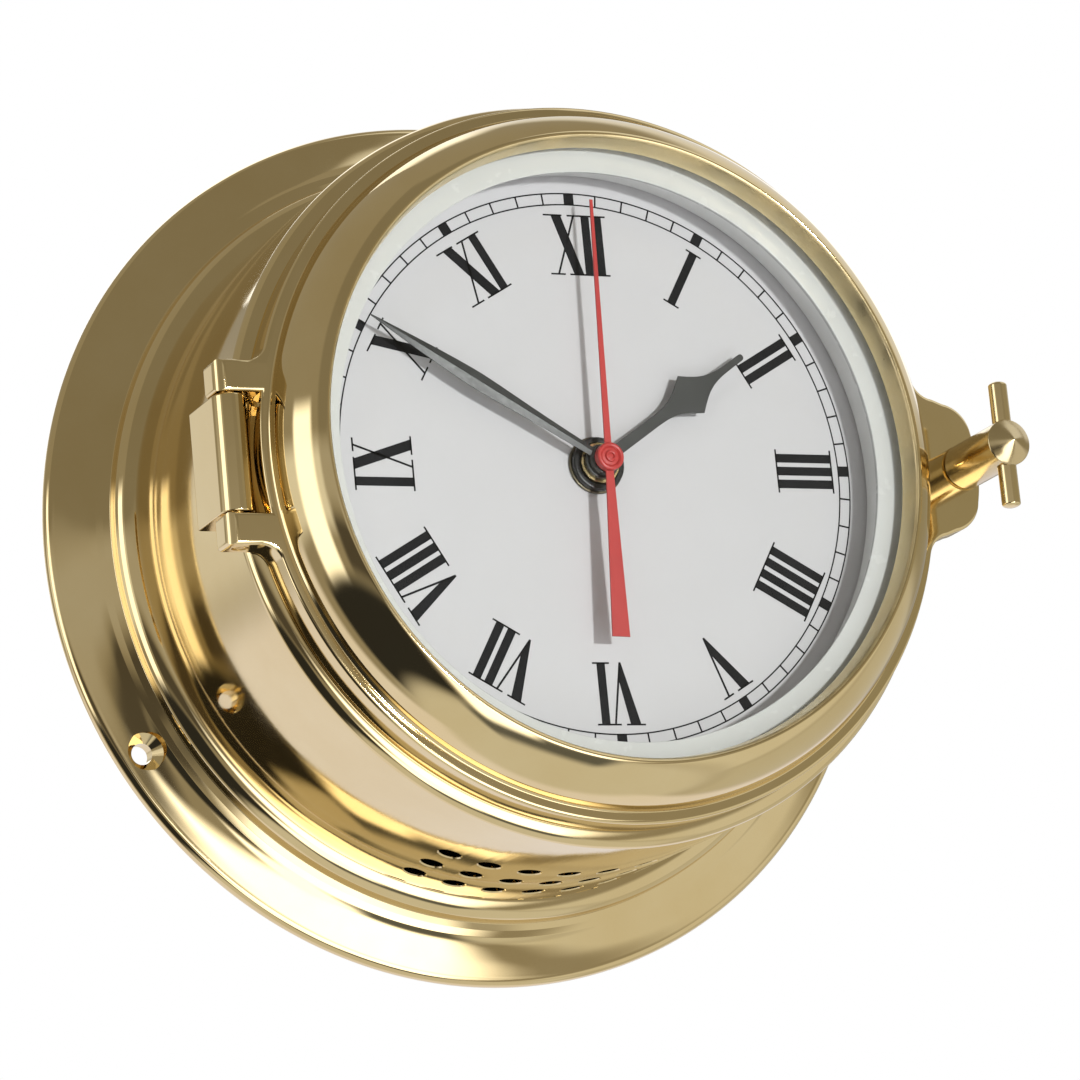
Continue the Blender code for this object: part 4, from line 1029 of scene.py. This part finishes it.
def add_camera():
    data = bpy.data.cameras.new("photo_camera")
    data.lens = CAMERA_LENS
    data.sensor_width = 36.0
    camera = bpy.data.objects.new("photo_camera", data)
    camera.location = CAMERA_PLACE
    camera.rotation_euler = [math.radians(angle) for angle in CAMERA_TURN_DEG]
    bpy.context.scene.collection.objects.link(camera)
    bpy.context.scene.camera = camera


def add_lamp(name, place, size, watts, mirrored_in_brass):
    """A round lamp aimed at the dial."""
    data = bpy.data.lights.new(name, "AREA")
    data.shape = "DISK"
    data.size = size
    data.energy = watts
    lamp = bpy.data.objects.new(name, data)
    lamp.location = place
    lamp.rotation_euler = (Vector((0.0, -0.07, 0.0)) - lamp.location).to_track_quat("-Z", "Y").to_euler()
    lamp.visible_camera = False
    lamp.visible_glossy = mirrored_in_brass
    bpy.context.scene.collection.objects.link(lamp)


def add_floor():
    """A pale floor under the clock, which the brass doesn't mirror."""
    mesh = bpy.data.meshes.new("floor")
    shape = bmesh.new()
    bmesh.ops.create_grid(shape, x_segments=1, y_segments=1, size=4.0, matrix=place_at(0, 0, FLOOR_Z))
    shape.to_mesh(mesh)
    shape.free()
    look = Look("pale_floor", (0.85, 0.85, 0.84), 0.6)
    look.colour(look.mix(look.noise(2.0, 3.0), (0.83, 0.83, 0.82), (0.86, 0.86, 0.85)))
    mesh.materials.append(look.material)
    floor = bpy.data.objects.new("floor", mesh)
    bpy.context.scene.collection.objects.link(floor)
    floor.visible_glossy = False
    floor.visible_diffuse = False


def mixed_colour(tree, links):
    """A colour that goes from A to B with Factor."""
    mix = add_node(tree, "Mix", {}, data_type="RGBA")
    for key, value in links.items():
        feed(tree, next(entry for entry in mix.inputs if entry.name == key and entry.enabled), value)
    return next(entry for entry in mix.outputs if entry.enabled)


def add_world():
    """White to the camera; to everything else a room of bright and dark panels."""
    world = bpy.data.worlds.new("studio")
    world.use_nodes = True
    tree = world.node_tree
    tree.nodes.clear()

    def node(kind, links, **settings):
        return add_node(tree, kind, links, **settings).outputs

    def maths(operation, first, second=0.0):
        return node("Math", {0: first, 1: second}, operation=operation)[0]

    def edge(angle, start, end):
        """Rises softly from 0 to 1 as the angle goes from start to end, in degrees."""
        links = {"Value": angle, "From Min": math.radians(start), "From Max": math.radians(end)}
        return node("MapRange", links, interpolation_type="SMOOTHSTEP")["Result"]

    def window(angle, start, end, soft):
        """1 between two angles and 0 outside them."""
        return maths("MULTIPLY", edge(angle, start - soft, start + soft), edge(angle, end + soft, end - soft))

    direction = node("SeparateXYZ", {0: node("TexCoord", {})["Generated"]})
    azimuth = maths("ARCTAN2", direction["X"], maths("MULTIPLY", direction["Y"], -1.0))
    elevation = maths("ARCSINE", direction["Z"])
    colour = ROOM_COLOUR
    for left, right, low, high, soft, tint in ROOM_PANELS:
        share = maths("MULTIPLY", window(azimuth, left, right, soft), window(elevation, low, high, soft))
        colour = mixed_colour(tree, {"Factor": share, "A": colour, "B": (*tint, 1.0)})
    to_camera = node("LightPath", {})["Is Camera Ray"]
    room = node("Background", {"Color": colour})[0]
    white = node("Background", {"Color": (1.0, 1.0, 1.0, 1.0)})[0]
    both = node("MixShader", {0: to_camera, 1: room, 2: white})[0]
    node("OutputWorld", {"Surface": both})
    bpy.context.scene.world = world


def build_studio():
    add_camera()
    add_floor()
    add_world()
    add_lamp("key_front", KEY_PLACE, KEY_SIZE, KEY_WATTS, True)
    add_lamp("fill_left", FILL_PLACE, FILL_SIZE, FILL_WATTS, False)
    add_lamp("fill_top", TOP_PLACE, FILL_SIZE, TOP_WATTS, False)
    bpy.context.scene.view_settings.view_transform = "Standard"


def main():
    dress_cad_nodes()
    build_flange()
    build_barrel()
    build_back()
    build_knuckle()
    build_hinge_pin()
    build_bezel_ring()
    build_bezel_plate()
    build_bezel_throat()
    build_glazing()
    build_clamp_boss()
    build_clamp_screw()
    build_clamp_bar()
    build_dial_plate()
    build_dial_ring()
    build_numerals()
    build_minute_track()
    build_centre()
    build_hour_hand()
    build_minute_hand()
    build_second_hand()
    build_studio()


main()
